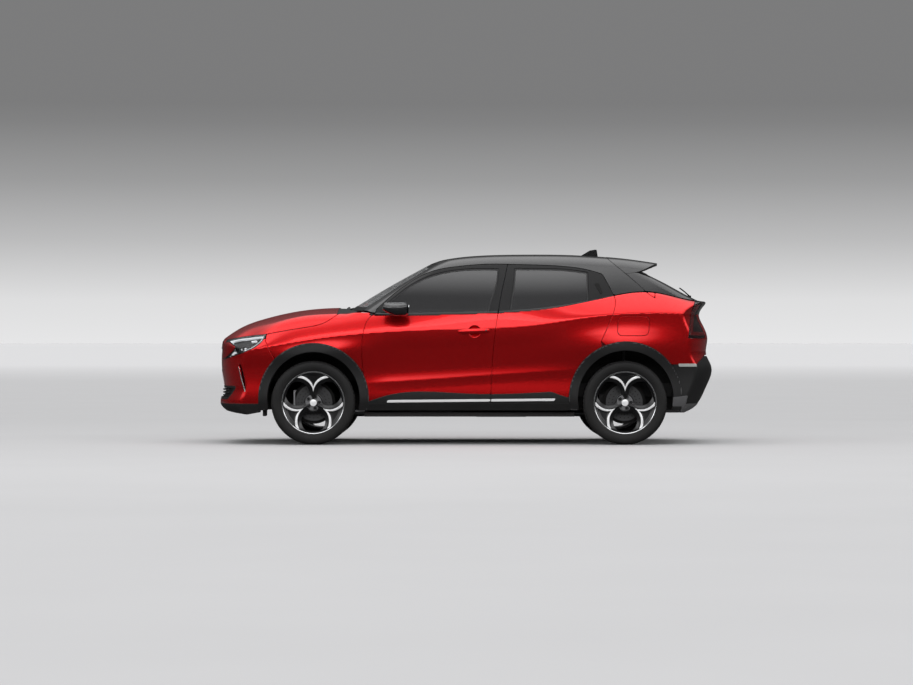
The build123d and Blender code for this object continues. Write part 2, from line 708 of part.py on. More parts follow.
# ---- floor, firewall, front rails and boot floor
with BuildPart() as floor_pan:
    with Locations((30, 0, 245)):
        Box(1730, 1480, 34)
    with Locations((30, 0, 300)):
        Box(1730, 240, 90)
    with Locations((-818, 0, 645)):
        Box(34, 1380, 770)
    for side_y in (-1, 1):
        with Locations((-1334, side_y * 415, 470)):
            Box(1010, 60, 100)
        with Locations((1390, side_y * 560, 430)):
            Box(1000, 60, 80)
    with Locations((880, 0, 365)):
        Box(34, 1180, 240)
    with Locations((1390, 0, 485)):
        Box(1020, 1180, 30)
    with Locations((30, 0, 250)):
        Box(1740, 150, 100, mode=Mode.SUBTRACT)
write(floor_pan.part, "floor_pan")

with BuildPart() as wheel_liners:
    for centre_x, inner, near in ((front_arch_x, 400, 462), (rear_arch_x, 400, 600)):
        with BuildSketch(Plane.XZ.offset(near)):
            with BuildLine():
                RadiusArc((centre_x - inner, arch_centre_z), (centre_x + inner, arch_centre_z),
                          inner)
                Line((centre_x + inner, arch_centre_z), (centre_x + inner + 8, arch_centre_z))
                RadiusArc((centre_x + inner + 8, arch_centre_z),
                          (centre_x - inner - 8, arch_centre_z), -(inner + 8))
                Line((centre_x - inner - 8, arch_centre_z), (centre_x - inner, arch_centre_z))
            make_face()
        extrude(amount=790 - near)
write(on_both_sides(wheel_liners.part), "wheel_liners")

# ---- drive, exhaust, tank and running gear
with BuildPart() as motor_block:
    with Locations((-1320, -10, 600)):
        Box(520, 660, 480)
    chamfer(motor_block.edges().filter_by(Axis.Y), 40)
write(motor_block.part, "motor_block")

with BuildPart() as front_subframe:
    with Locations((-1230, 0, 290)):
        Box(420, 700, 60)
    with Locations((-1230, 0, 290)):
        Box(240, 420, 80, mode=Mode.SUBTRACT)
    for side_y in (-1, 1):
        with BuildSketch(Plane.XY.offset(262)):
            with BuildLine():
                Polyline((-1330, side_y * 349), (-1080, side_y * 349),
                         (-1220, side_y * 612), (-1284, side_y * 612), close=True)
            make_face()
        extrude(amount=34)
    with Locations((-1790, 0, 560)):
        Box(60, 700, 420)
    with Locations((-1790, 0, 320)):
        Box(60, 700, 60)
    for side_y in (-1, 1):
        with Locations((-1640, side_y * 300, 320)):
            Box(400, 50, 50)
write(front_subframe.part, "front_subframe")

with BuildPart() as crash_beam:
    with Locations((-1905, 0, tow_eye_z)):
        Box(46, 1000, 110)
    for side_y in (-1, 1):
        with Locations((-1863, side_y * 415, 500)):
            Box(48, 70, 90)
    with Locations((-1957, -tow_eye_y, tow_eye_z)):
        Cylinder(18, 76, rotation=(0, 90, 0))
    with Locations((-1960, -tow_eye_y, tow_eye_z)):
        Cylinder(tow_eye_radius, 90, rotation=(0, 90, 0), mode=Mode.SUBTRACT)
write(crash_beam.part, "front_crash_beam")

with BuildPart() as exhaust:
    with BuildSketch(Plane.YZ.offset(-1000)):
        with Locations((0, 240)):
            Circle(27)
    extrude(amount=2640)
    with Locations((300, 0, 243)):
        Box(420, 120, 66)
    with Locations((1725, -150, 330)):
        Box(190, 620, 150)
    with BuildSketch(Plane.YZ.offset(1600)):
        with Locations((0, 270)):
            RectangleRounded(60, 100, 20)
    extrude(amount=80)
write(exhaust.part, "exhaust")

with BuildPart() as fuel_tank:
    with Locations((1070, 0, 370)):
        Box(300, 1040, 170)
    with Locations((1080, 0, 270)):
        Box(330, 150, 120, mode=Mode.SUBTRACT)
    fillet(fuel_tank.edges().filter_by(Axis.Z), 30)
write(fuel_tank.part, "fuel_tank")

with BuildPart() as rear_axle:
    with BuildSketch(Plane.XZ.offset(-585)):
        with Locations((rear_axle_x - 40, 306)):
            RectangleRounded(70, 60, 20)
    extrude(amount=1170)
    for side_y in (-1, 1):
        with Locations((rear_axle_x - 130, side_y * 600, 320)):
            Box(400, 50, 60)
        with Locations((rear_axle_x, side_y * 640, tyre_radius)):
            Cylinder(50, 60, rotation=(90, 0, 0))
        with Locations((rear_axle_x, side_y * 679, tyre_radius)):
            Cylinder(28, 30, rotation=(90, 0, 0))
        with Locations((rear_axle_x - 175, side_y * 640, tyre_radius + 20)):
            Box(60, 60, 90)
        with Locations((rear_axle_x - 90, side_y * 622, tyre_radius)):
            Box(160, 30, 40)
write(rear_axle.part, "rear_axle")

disc_radius = 152
disc_near = 700
for name, side_y in (("left", -1), ("right", 1)):
    with BuildPart() as knuckle:
        with Locations((front_axle_x, side_y * 650, tyre_radius)):
            Cylinder(58, 50, rotation=(90, 0, 0))
        with Locations((front_axle_x, side_y * 640, 340)):
            Box(60, 40, 190)
        with Locations((front_axle_x, side_y * 655, 430)):
            Box(50, 70, 60)
        with Locations((front_axle_x, side_y * 682, tyre_radius)):
            Cylinder(28, 24, rotation=(90, 0, 0))
        with Locations((front_axle_x - 135, side_y * 688, tyre_radius + 26)):
            Box(66, 18, 150)
        with Locations((front_axle_x - 80, side_y * 670, tyre_radius + 20)):
            Box(130, 22, 60)
        with Locations((front_axle_x - 160, side_y * 712, tyre_radius + 26)):
            Box(12, 64, 110)
    write(knuckle.part, f"front_knuckle_{name}")

# ---- wheels
tyre_profile = [(258, -100), (300, -112), (326, -106), (340, -92), (344, -70), (344, 70),
                (340, 92), (326, 106), (300, 112), (258, 100)]
lobe_distance = 140
lobe_radius = 84
for place, (axle_x, side_y) in wheel_places.items():
    hub = Plane(origin=(axle_x, side_y * track_half, tyre_radius), x_dir=(-side_y, 0, 0),
                z_dir=(0, side_y, 0))
    with BuildPart() as tyre:
        with BuildSketch(Plane(origin=hub.origin, x_dir=(1, 0, 0), z_dir=(0, 0, 1))):
            with BuildLine():
                Polyline(*tyre_profile, close=True)
            make_face()
        revolve(axis=Axis(hub.origin, (0, 1, 0)))
    write(tyre.part, f"tyre_{place}")
    with BuildPart() as rim:
        with BuildSketch(Plane(origin=hub.origin, x_dir=(1, 0, 0), z_dir=(0, 0, 1))):
            with BuildLine():
                Polyline((257.5, -98 * side_y), (257.5, 99 * side_y), (248, 99 * side_y),
                         (238, 40 * side_y), (238, -98 * side_y), close=True)
            make_face()
        revolve(axis=Axis(hub.origin, (0, 1, 0)))
        with BuildSketch(hub.offset(58)):
            Circle(244)
            with PolarLocations(lobe_distance, 3, start_angle=30):
                Circle(lobe_radius, mode=Mode.SUBTRACT)
        extrude(amount=26)
        with BuildSketch(hub.offset(-42)):
            Circle(76)
        extrude(amount=102)
        with BuildSketch(hub.offset(-64)):
            Circle(disc_radius)
        extrude(amount=22)
        with BuildSketch(hub.offset(-64)):
            Circle(34)
        extrude(amount=60, mode=Mode.SUBTRACT)
    write(rim.part, f"wheel_{place}")

# ---- cabin fittings
with BuildPart() as dashboard:
    with BuildSketch(Plane.XZ.offset(-690)):
        with BuildLine():
            Polyline((-795, 720), (-795, 1020), (-620, 1050), (-520, 1000), (-500, 900),
                     (-560, 760), (-640, 700), close=True)
        make_face()
    extrude(amount=1380)
    with Locations((-330, 0, 400)):
        Box(900, 220, 90)
    with Locations((-640, 0, 560)):
        Box(280, 220, 320)
write(dashboard.part, "dashboard")

wheel_hand_y = -365
column = Plane(origin=(-405, wheel_hand_y, 985), x_dir=(0, 1, 0), z_dir=(0.9, 0, 0.436))
with BuildPart() as steering_wheel:
    with BuildSketch(Plane(origin=column.origin, x_dir=(0, 1, 0),
                           z_dir=column.x_dir.cross(column.z_dir))):
        with Locations((178, 0)):
            Circle(14)
    revolve(axis=Axis(column.origin, column.z_dir))
    with BuildSketch(column.offset(-30)):
        Circle(70)
        Rectangle(352, 50)
        with Locations((0, -90)):
            Rectangle(44, 176)
    extrude(amount=30)
    with BuildSketch(column.offset(-82)):
        Circle(30)
    extrude(amount=60)
write(steering_wheel.part, "steering_wheel")

with BuildPart() as front_seats:
    for side_y in (-1, 1):
        with BuildSketch(Plane.XZ.offset(-side_y * 365 - 245)):
            with BuildLine():
                Polyline((-170, 400), (-190, 520), (290, 490), (420, 1010), (520, 1030),
                         (420, 430), (300, 400), close=True)
            make_face()
        extrude(amount=490)
        with BuildSketch(Plane.XZ.offset(-side_y * 365 - 130)):
            with BuildLine():
                Polyline((440, 1020), (460, 1200), (545, 1210), (525, 1020), close=True)
            make_face()
        extrude(amount=260)
        with Locations((120, side_y * 365, 335)):
            Box(420, 380, 140)
write(front_seats.part, "front_seats")

with BuildPart() as rear_seat:
    with BuildSketch(Plane.XZ.offset(-590)):
        with BuildLine():
            Polyline((900, 520), (640, 510), (620, 560), (1110, 570), (1230, 1080),
                     (1330, 1090), (1200, 520), close=True)
        make_face()
    extrude(amount=1180)
    for seat_y in (-380, 0, 380):
        with BuildSketch(Plane.XZ.offset(-seat_y - 120)):
            with BuildLine():
                Polyline((1240, 1080), (1270, 1210), (1340, 1215), (1325, 1080), close=True)
            make_face()
        extrude(amount=240)
write(rear_seat.part, "rear_seat")
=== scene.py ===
import math

import bmesh
import bpy
import numpy as np
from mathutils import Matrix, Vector


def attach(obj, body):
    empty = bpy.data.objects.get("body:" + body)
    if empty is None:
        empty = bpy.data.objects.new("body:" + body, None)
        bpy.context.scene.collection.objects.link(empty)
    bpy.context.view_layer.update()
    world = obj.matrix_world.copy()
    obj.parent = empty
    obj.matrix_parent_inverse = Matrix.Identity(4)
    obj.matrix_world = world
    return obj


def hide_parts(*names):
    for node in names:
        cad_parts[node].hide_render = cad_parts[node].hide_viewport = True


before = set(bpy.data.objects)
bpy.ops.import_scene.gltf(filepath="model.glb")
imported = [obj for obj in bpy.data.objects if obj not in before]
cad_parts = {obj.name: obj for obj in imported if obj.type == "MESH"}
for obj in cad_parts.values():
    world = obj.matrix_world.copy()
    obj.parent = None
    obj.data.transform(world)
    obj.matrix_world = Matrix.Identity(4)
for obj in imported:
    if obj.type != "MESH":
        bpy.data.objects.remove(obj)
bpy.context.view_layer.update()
scene = bpy.context.scene
scene.view_settings.view_transform = "Standard"
print("frame loaded:", len(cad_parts), "nodes")

# Everything is in metres: nose towards -X, the car's left side towards -Y, wheels on z = 0.
car = {
    "frontAxle": -1.252, "rearAxle": 1.308, "hubHeight": 0.344, "hubSide": 0.763,
    "frontArch": (-1.250, 0.380, 0.382, 0.452),      # x, z, inner and outer radius
    "rearArch": (1.313, 0.380, 0.395, 0.465),
    "gap": 0.0038,                                   # half of a shut line
}


# curves and surfaces of the bodywork
def bend(points):                       # smooth curve through (x, value) pairs, straight beyond them
    px, pv = np.array(points, float).T
    h = np.diff(px)
    n = len(px)
    a = np.eye(n)
    r = np.zeros(n)
    for i in range(1, n - 1):
        a[i, i - 1:i + 2] = h[i - 1], 2 * (h[i - 1] + h[i]), h[i]
        r[i] = 6 * ((pv[i + 1] - pv[i]) / h[i] - (pv[i] - pv[i - 1]) / h[i - 1])
    m = np.linalg.solve(a, r)
    first = (pv[1] - pv[0]) / h[0] - h[0] * m[1] / 6
    last = (pv[-1] - pv[-2]) / h[-1] + h[-1] * m[-2] / 6

    def at(x):
        x = np.asarray(x, float)
        t = np.clip(x, px[0], px[-1])
        i = np.clip(np.searchsorted(px, t, side="right") - 1, 0, n - 2)
        w = h[i]
        b = (t - px[i]) / w
        c = 1 - b
        value = c * pv[i] + b * pv[i + 1] + ((c ** 3 - c) * m[i] + (b ** 3 - b) * m[i + 1]) * w * w / 6
        return value + np.minimum(x - px[0], 0) * first + np.maximum(x - px[-1], 0) * last
    return at


def ease(x, start, end):                # 0 before start, 1 after end, smooth between
    t = np.clip((x - start) / (end - start), 0, 1)
    return t * t * (3 - 2 * t)


def roundMax(a, b, radius):             # the larger of two distances, with a rounded corner
    over = np.hypot(np.maximum(a + radius, 0), np.maximum(b + radius, 0))
    return np.minimum(np.maximum(a, b), -radius) + over


shape = {
    "widest": [(-2.08, 0.76), (-1.7, 0.852), (-1.25, 0.884), (-0.85, 0.877), (0, 0.872), (0.7, 0.876),
               (1.311, 0.886), (1.7, 0.868), (2.08, 0.8)],
    "creaseHeight": [(-2.08, 0.74), (-1.65, 0.8), (-1.25, 0.865), (-0.9, 0.906), (-0.06, 0.946),
                     (0.56, 0.979), (0.9, 1.03), (1.216, 1.068), (1.6, 1.082), (2.08, 1.06)],
    "upperHeight": [(-2.08, 0.79), (-1.9, 0.85), (-1.777, 0.893), (-1.653, 0.955), (-1.488, 1.028),
                    (-1.291, 1.066),
                    (-1.093, 1.08), (-0.773, 1.076), (0.035, 1.09), (0.634, 1.126), (1.111, 1.207),
                    (1.439, 1.258), (1.589, 1.253), (1.889, 1.18), (2.08, 1.15)],
    "upperWidth": [(-2.08, 0.6), (-1.777, 0.69), (-1.653, 0.745), (-1.488, 0.778), (-1.093, 0.8),
                   (-0.773, 0.815), (0, 0.838), (0.634, 0.832), (1.111, 0.78), (1.439, 0.722),
                   (1.889, 0.69), (2.08, 0.64)],
    "tuck": [(0.25, 0.062), (0.3, 0.044), (0.345, 0.027), (0.42, 0.02), (0.5, 0.024), (0.62, 0.025),
             (0.78, 0.013), (0.95, 0.003), (1.1, 0)],
    "lowerCrease": [(-0.9, 0.502), (-0.737, 0.51), (0.024, 0.558), (0.768, 0.608), (1.1, 0.628)],
    "nose": [(0.24, -1.972), (0.318, -2.060), (0.43, -2.042), (0.59, -2.052), (0.74, -2.060),
             (0.86, -2.048), (1.0, -2.02)],
    "top": [(-2.1, 0.826), (-2.05, 0.862), (-1.904, 0.959), (-1.701, 1.037), (-1.397, 1.105),
            (-1.093, 1.131), (-0.95, 1.126), (-0.8, 1.098), (-0.6, 1.087), (0.035, 1.093),
            (0.634, 1.128), (1.111, 1.209), (1.439, 1.264), (1.65, 1.246), (1.889, 1.198), (2.06, 1.172)],
    "tail": [(0.26, 1.87), (0.32, 1.942), (0.42, 2.004), (0.54, 2.056), (0.65, 2.066), (0.735, 2.028),
             (0.87, 2.036), (1.0, 1.99), (1.075, 1.966), (1.12, 1.985), (1.177, 2.03), (1.25, 2.06)],
    "lean": [(1, -0.04), (1.09, 0), (1.28, 0.082), (1.44, 0.156), (1.6, 0.236)],
    "roof": [(-0.5, 1.462), (-0.302, 1.511), (-0.1, 1.551), (0.072, 1.569), (0.5, 1.581), (0.883, 1.577),
             (1.136, 1.563), (1.338, 1.545), (1.6, 1.508)],
    "screen": [(1.0, -1.16), (1.164, -0.891), (1.316, -0.637), (1.428, -0.435), (1.5, -0.302), (1.6, -0.11)],
    "back": [(1.172, 2.005), (1.224, 1.895), (1.333, 1.693), (1.428, 1.5), (1.5, 1.35)],
    "beltStep": 0.012, "flare": 0.034, "ridge": 0.006, "turnIn": 1.28,
}
curves = {name: bend(points) for name, points in shape.items() if isinstance(points, list)}


def sideWidth(x, z):                    # half width of the lower body
    wide, crease, upper = curves["widest"](x), curves["creaseHeight"](x), curves["upperHeight"](x)
    flare = sum(np.exp(-((x - axle) / 0.42) ** 2 - ((z - 0.78) / 0.15) ** 2)
                for axle in (car["frontAxle"], car["rearAxle"]))
    share = ease(crease - z, 0, 0.16)
    low = wide + share * (shape["flare"] * flare - curves["tuck"](z))
    away = z - curves["lowerCrease"](x)
    amid = ease(x, -0.95, -0.6) * (1 - ease(x, 0.75, 1.1))
    low += shape["ridge"] * amid * (1 - np.hypot(away, 0.006) / 0.075).clip(0, 1) ** 1.5
    drop = wide - curves["upperWidth"](x)
    lean = (z - crease) / (upper - crease)
    high = wide - drop * np.clip(lean, 0, 1) ** shape["turnIn"] - 0.9 * np.maximum(z - upper, 0)
    return np.where(z < crease, low, np.maximum(high, 0.3))


def noseSweep(y):
    return 0.06 * (y / 0.6) ** 2 + 0.2 * (y / 0.85) ** 6


def tailSweep(y):
    return 0.04 * (y / 0.6) ** 2 + 0.15 * (y / 0.85) ** 6


def bodyField(p):                       # below 0 inside the lower body
    x, y, z = p[..., 0], np.abs(p[..., 1]), p[..., 2]
    centreX = x - noseSweep(y) * (1 - ease(x, -1.98, -1.25)) + tailSweep(y) * ease(x, 1.35, 2.0)
    crown = 0.057 * (y / 0.78) ** 2.2 * (1 - ease(x, -1.0, -0.82))
    top = (z + crown - curves["top"](centreX)) * 0.95
    side = y - sideWidth(x, z)
    nose = curves["nose"](z) - centreX
    tail = centreX - curves["tail"](z)
    topRound = 0.022 + 0.016 * (1 - ease(x, -1.1, -0.8))
    return roundMax(roundMax(top, side, topRound), roundMax(nose, tail, 0.01), 0.02)


def cabinHalf(x):
    return curves["upperWidth"](x) - shape["beltStep"] + curves["lean"](curves["upperHeight"](x))


def roofTop(x, y):
    return curves["roof"](x) - 0.024 * (y / 0.56) ** 2


def cabinField(p):                      # below 0 inside the cabin
    x, y, z = p[..., 0], np.abs(p[..., 1]), p[..., 2]
    side = (y - cabinHalf(x) + curves["lean"](z)) * 0.92
    top = z - roofTop(x, y)
    screen = (curves["screen"](z) + 0.15 * (y / 0.7) ** 2.4 - x) * 0.53
    back = (x - curves["back"](z) + 0.095 * (y / 0.7) ** 2.4) * 0.47
    return roundMax(roundMax(side, top, 0.065), roundMax(screen, back, 0.02), 0.028)


def roofField(p):                       # the cabin with its roof carried on over the tailgate
    x, y, z = p[..., 0], np.abs(p[..., 1]), p[..., 2]
    side = (y - cabinHalf(x) + curves["lean"](z)) * 0.92
    return roundMax(side, z - roofTop(x, y), 0.065)


# casting, clipping and panel tools
def slopeOf(field, p, step=2e-4):       # the field's direction of growth: the surface's outward normal
    out = np.stack([field(p + step * e) - field(p - step * e) for e in np.eye(3)], -1)
    return out / np.linalg.norm(out, axis=-1, keepdims=True).clip(1e-12)


def settle(field, p, n):                # moves points along their normals on to the surface
    for _ in range(2):
        f = field(p)
        g = (field(p + 1e-4 * n) - f) / 1e-4
        p = p - n * np.clip(f / np.where(np.abs(g) < 0.2, 0.2, g), -0.02, 0.02)[..., None]
    return p


def cast(field, origin, way, reach):    # where rays from inside leave the surface
    low = np.zeros(len(origin))
    high = np.full(len(origin), reach)
    for _ in range(17):
        mid = (low + high) / 2
        inside = field(origin + way * mid[:, None]) < 0
        low, high = np.where(inside, mid, low), np.where(inside, high, mid)
    p = origin + way * ((low + high) / 2)[:, None]
    n = slopeOf(field, p)
    return settle(field, p, n), n


def gridFaces(rows, columns):
    i = np.arange(rows * columns).reshape(rows, columns)
    a, b, c, d = i[:-1, :-1].ravel(), i[:-1, 1:].ravel(), i[1:, 1:].ravel(), i[1:, :-1].ravel()
    return np.concatenate([np.stack([a, b, c], 1), np.stack([a, c, d], 1)])


def facing(points, faces, normals):     # turns each face the way of its corners' normals
    a, b, c = (points[faces[:, k]] for k in range(3))
    flip = (np.cross(b - a, c - a) * normals[faces].sum(1)).sum(1) < 0
    faces = faces.copy()
    faces[flip] = faces[flip][:, ::-1]
    return faces


def bodyGrid():                         # the lower body's left side, from mid nose round to mid tail
    step = 0.013
    fan = np.radians(np.arange(0, 90, 0.85))
    run = np.arange(-1.45, 1.4, step)
    x = np.concatenate([np.full(len(fan), -1.45), run, np.full(len(fan), 1.4)])
    turn = np.concatenate([math.pi - fan, np.full(len(run), math.pi / 2), fan[::-1]])
    reach = np.concatenate([0.6 + 0.28 * np.sin(fan) ** 2, np.full(len(run), 0.88),
                            0.62 + 0.26 * np.sin(fan[::-1]) ** 2])
    level = np.concatenate([np.arange(0.255, 0.84, 0.0115), np.arange(0.84, 1.38, 0.0085)])
    xx, zz = np.meshgrid(x, level, indexing="ij")
    tt, rr = (np.repeat(v[:, None], len(level), 1) for v in (turn, reach))
    way = np.stack([np.cos(tt) * rr, -np.sin(tt) * rr, zz - 0.72], -1).reshape(-1, 3)
    way /= np.linalg.norm(way, axis=1, keepdims=True)
    origin = np.stack([xx, 0 * xx, 0 * xx + 0.72], -1).reshape(-1, 3)
    p, n = cast(bodyField, origin, way, 1.6)
    return bodyField, p, n, gridFaces(*xx.shape)


def thinned(grid):                      # every other row and column of a grid, for what is hidden
    field, p, n, faces = grid
    columns = int(faces[0][2]) - 1
    keep = np.arange(len(p)).reshape(-1, columns)[::2, ::2]
    return field, p[keep.ravel()], n[keep.ravel()], gridFaces(*keep.shape)


def topGrid(field, start, end, core, lowest, step=0.014, tip=None):
    # left half of an upward surface; core is the height the rays leave from
    x = np.arange(start, end + step, step)
    pitch = np.zeros(len(x))
    if tip:                             # the rays lean forward over the front edge
        lead = np.radians(np.arange(tip, 0, -1.3))
        x = np.concatenate([np.full(len(lead), start), x])
        pitch = np.concatenate([lead, pitch])
    side = np.radians(np.linspace(0, lowest, 74))
    xx, ss = np.meshgrid(x, side, indexing="ij")
    pp = np.repeat(pitch[:, None], len(side), 1)
    way = np.stack([-np.sin(pp) * np.cos(ss), -np.sin(ss), np.cos(pp) * np.cos(ss)], -1).reshape(-1, 3)
    origin = np.stack([xx, 0 * xx, 0 * xx + core], -1).reshape(-1, 3)
    p, n = cast(field, origin, way, 1.5)
    return field, p, n, gridFaces(*xx.shape)


def patch(field, u, v, start, way, step=0.004):
    # fine grid cast straight along one axis from a plane; u and v are its (low, high) spans
    axis = int(np.argmax(np.abs(way)))
    others = [k for k in range(3) if k != axis]
    a, b = np.arange(u[0], u[1] + step, step), np.arange(v[0], v[1] + step, step)
    aa, bb = np.meshgrid(a, b, indexing="ij")
    origin = np.zeros((aa.size, 3))
    origin[:, others[0]], origin[:, others[1]], origin[:, axis] = aa.ravel(), bb.ravel(), start
    p, n = cast(field, origin, np.tile(np.array(way, float), (aa.size, 1)), 1.6)
    return field, p, n, gridFaces(*aa.shape)


def trace(items, step=0.008):           # an outline's corners; an item that is a list is a curve
    points = []
    for item in items:
        if isinstance(item, list):
            run = np.array(item, float)
            along = np.concatenate([[0], np.cumsum(np.linalg.norm(np.diff(run, axis=0), axis=1))])
            t = np.linspace(0, along[-1], max(3, int(along[-1] / step)))
            points += list(np.stack([bend(list(zip(along, run[:, k])))(t) for k in range(2)], 1))
        else:
            points.append(np.array(item, float))
    points = np.array(points)
    return points[np.linalg.norm(np.roll(points, -1, 0) - points, axis=1) > 1e-7]


def rounded(points, radius):            # takes the sharp corners off an outline
    out = []
    count = len(points)
    for i in range(count):
        a, b, c = points[i - 1], points[i], points[(i + 1) % count]
        u, v = a - b, c - b
        lu, lv = np.linalg.norm(u), np.linalg.norm(v)
        if np.dot(u, v) / (lu * lv) < -0.93:
            out.append(b)
            continue
        cut = min(radius, lu * 0.48, lv * 0.48)
        start, end = b + u / lu * cut, b + v / lv * cut
        out += [(1 - t) ** 2 * start + 2 * t * (1 - t) * b + t * t * end for t in (0, 0.25, 0.5, 0.75, 1)]
    return np.array(out)


def outline(items, axes=(0, 2), radius=0.0, grow=0.0):
    # field of a flat outline, carried right through along the third axis
    points = trace(items)
    if radius:
        points = rounded(points, radius)
    a, b = points, np.roll(points, -1, 0)

    def at(p):
        q = p[..., list(axes)]
        best = np.full(q.shape[:-1], 1e9)
        inside = np.zeros(q.shape[:-1], bool)
        for s, e in zip(a, b):
            d = e - s
            t = np.clip(((q - s) @ d) / max(d @ d, 1e-12), 0, 1)
            best = np.minimum(best, ((q - s - t[..., None] * d) ** 2).sum(-1))
            crossing = (s[1] > q[..., 1]) != (e[1] > q[..., 1])
            with np.errstate(divide="ignore", invalid="ignore"):
                inside ^= crossing & (q[..., 0] < d[0] * (q[..., 1] - s[1]) / (d[1] or 1e-12) + s[0])
        return np.where(inside, -1, 1) * np.sqrt(best) - grow
    return at


def disc(x, z, radius):                 # a round hole across the car
    return lambda p: np.hypot(p[..., 0] - x, p[..., 2] - z) - radius


def within(axis, low, high):            # between two planes
    return lambda p: np.maximum(low - p[..., axis], p[..., axis] - high)


def both(*fields):                      # inside all of the fields
    return lambda p: np.max([f(p) for f in fields], 0)


def less(field, *holes, gap=0.0):       # the field with the others cut out of it
    return lambda p: np.max([field(p)] + [gap - h(p) for h in holes], 0)


def shrunk(field, gap):
    return lambda p: field(p) + gap


def clip(points, faces, g):             # keeps the part of a triangle mesh where g is below 0
    keep = g < 0
    faces = faces[keep[faces].any(1)]
    count = keep[faces].sum(1)
    full = faces[count == 3]
    new = {"edges": [], "faces": []}
    for inside in (1, 2):
        part = faces[count == inside]
        if not len(part):
            continue
        mark = keep[part] if inside == 1 else ~keep[part]
        lone = mark.argmax(1)
        a, b, c = (part[np.arange(len(part)), (lone + k) % 3] for k in range(3))
        new["edges"].append(np.stack([a, b], 1))
        new["edges"].append(np.stack([a, c], 1))
        new["faces"].append((inside, a, b, c))
    if not new["edges"]:
        used, back = np.unique(full, return_inverse=True)
        return used, None, None, back.reshape(-1, 3)
    edges = np.sort(np.concatenate(new["edges"]), 1)
    unique, back = np.unique(edges, axis=0, return_inverse=True)
    back = back.ravel() + len(points)
    out = [full]
    at = 0
    for inside, a, b, c in new["faces"]:
        ab, ac = back[at:at + len(a)], back[at + len(a):at + 2 * len(a)]
        at += 2 * len(a)
        if inside == 1:
            out.append(np.stack([a, ab, ac], 1))
        else:
            out += [np.stack([ab, b, c], 1), np.stack([ab, c, ac], 1)]
    share = g[unique[:, 0]] / (g[unique[:, 0]] - g[unique[:, 1]])
    used, back = np.unique(np.concatenate(out), return_inverse=True)
    return used, unique, share, back.reshape(-1, 3)


def cutPiece(grid, keep, lift=0.0):     # the part of a cast grid inside a field: points, normals, faces
    field, p, n, faces = grid
    near = keep(p)
    used, unique, share, faces = clip(p, faces, near)
    if unique is not None:
        made = p[unique[:, 0]] + share[:, None] * (p[unique[:, 1]] - p[unique[:, 0]])
        madeN = n[unique[:, 0]] + share[:, None] * (n[unique[:, 1]] - n[unique[:, 0]])
        madeN /= np.linalg.norm(madeN, axis=1, keepdims=True)
        p = np.concatenate([p, settle(field, made, madeN)])
        n = np.concatenate([n, madeN])
    p, n = p[used], n[used]
    return p + n * lift, n, facing(p, faces, n)


def shell(p, n, faces, depth, edge=0.0025, floor=None):
    # gives a sheet its thickness and a rounded rim; floor moves the inner side to its own place
    ends = np.concatenate([faces[:, [0, 1]], faces[:, [1, 2]], faces[:, [2, 0]]])
    code = ends[:, 0].astype(np.int64) * len(p) + ends[:, 1]
    mirrored = ends[:, 1].astype(np.int64) * len(p) + ends[:, 0]
    rim = ends[~np.isin(code, mirrored)]
    away = np.zeros_like(p)
    for k in (0, 1):
        np.add.at(away, rim[:, k], np.cross(p[rim[:, 1]] - p[rim[:, 0]], n[rim[:, k]]))
    away /= np.linalg.norm(away, axis=1, keepdims=True).clip(1e-12)
    loop = np.unique(rim)
    place = np.full(len(p), -1)
    place[loop] = np.arange(len(loop))
    points, normals, out = [p], [n], [faces]
    before = np.arange(len(p))[loop]
    base = len(p)
    rings = [(0.5, 0.134, 0.5), (0.866, 0.5, 0.866), (1, 1, 1)] if edge else []
    for outward, inward, tilt in rings + [(1 if edge else 0, depth / max(edge, 1e-9) if edge else 0, 1)]:
        down = depth if not edge else min(inward * edge, depth)
        points.append(p[loop] + away[loop] * edge * outward - n[loop] * down)
        turned = n[loop] * (1 - tilt ** 2) ** 0.5 + away[loop] * tilt
        normals.append(turned)
        after = base + np.arange(len(loop))
        a, b = place[rim[:, 0]], place[rim[:, 1]]
        out += [np.stack([before[a], after[b], before[b]], 1), np.stack([before[a], after[a], after[b]], 1)]
        before = after
        base += len(loop)
    inner = p - n * depth if floor is None else floor
    points.append(inner)
    normals.append(-n)
    a, b = place[rim[:, 0]], place[rim[:, 1]]
    out.append(faces[:, ::-1] + base)
    out += [np.stack([before[a], base + rim[:, 1], before[b]], 1),
            np.stack([before[a], base + rim[:, 0], base + rim[:, 1]], 1)]
    return np.concatenate(points), np.concatenate(normals), np.concatenate(out)


def mirrored(p, n, faces):
    flip = np.array([1, -1, 1])
    return p * flip, None if n is None else n * flip, faces[:, ::-1]


def joined(*parts):
    base, points, normals, faces = 0, [], [], []
    for p, n, f in parts:
        points.append(p)
        normals.append(n)
        faces.append(f + base)
        base += len(p)
    plain = any(n is None for n in normals)
    return np.concatenate(points), None if plain else np.concatenate(normals), np.concatenate(faces)


def outwards(mesh):
    work = bmesh.new()
    work.from_mesh(mesh)
    bmesh.ops.recalc_face_normals(work, faces=work.faces[:])
    work.to_mesh(mesh)
    work.free()


def arrays(work):                       # a bmesh as points, no normals, triangles
    bmesh.ops.triangulate(work, faces=work.faces[:])
    work.verts.index_update()
    points = np.array([v.co for v in work.verts], float)
    faces = np.array([[v.index for v in f.verts] for f in work.faces])
    work.free()
    return points, None, faces


def softBox(low, high, radius=0.006, segments=2):
    work = bmesh.new()
    bmesh.ops.create_cube(work, size=1)
    low, high = Vector(low), Vector(high)
    for v in work.verts:
        v.co = Vector(((v.co[k] + 0.5) * (high[k] - low[k]) + low[k] for k in range(3)))
    bmesh.ops.bevel(work, geom=work.edges[:], offset=radius, segments=segments, affect="EDGES", profile=0.5)
    return arrays(work)


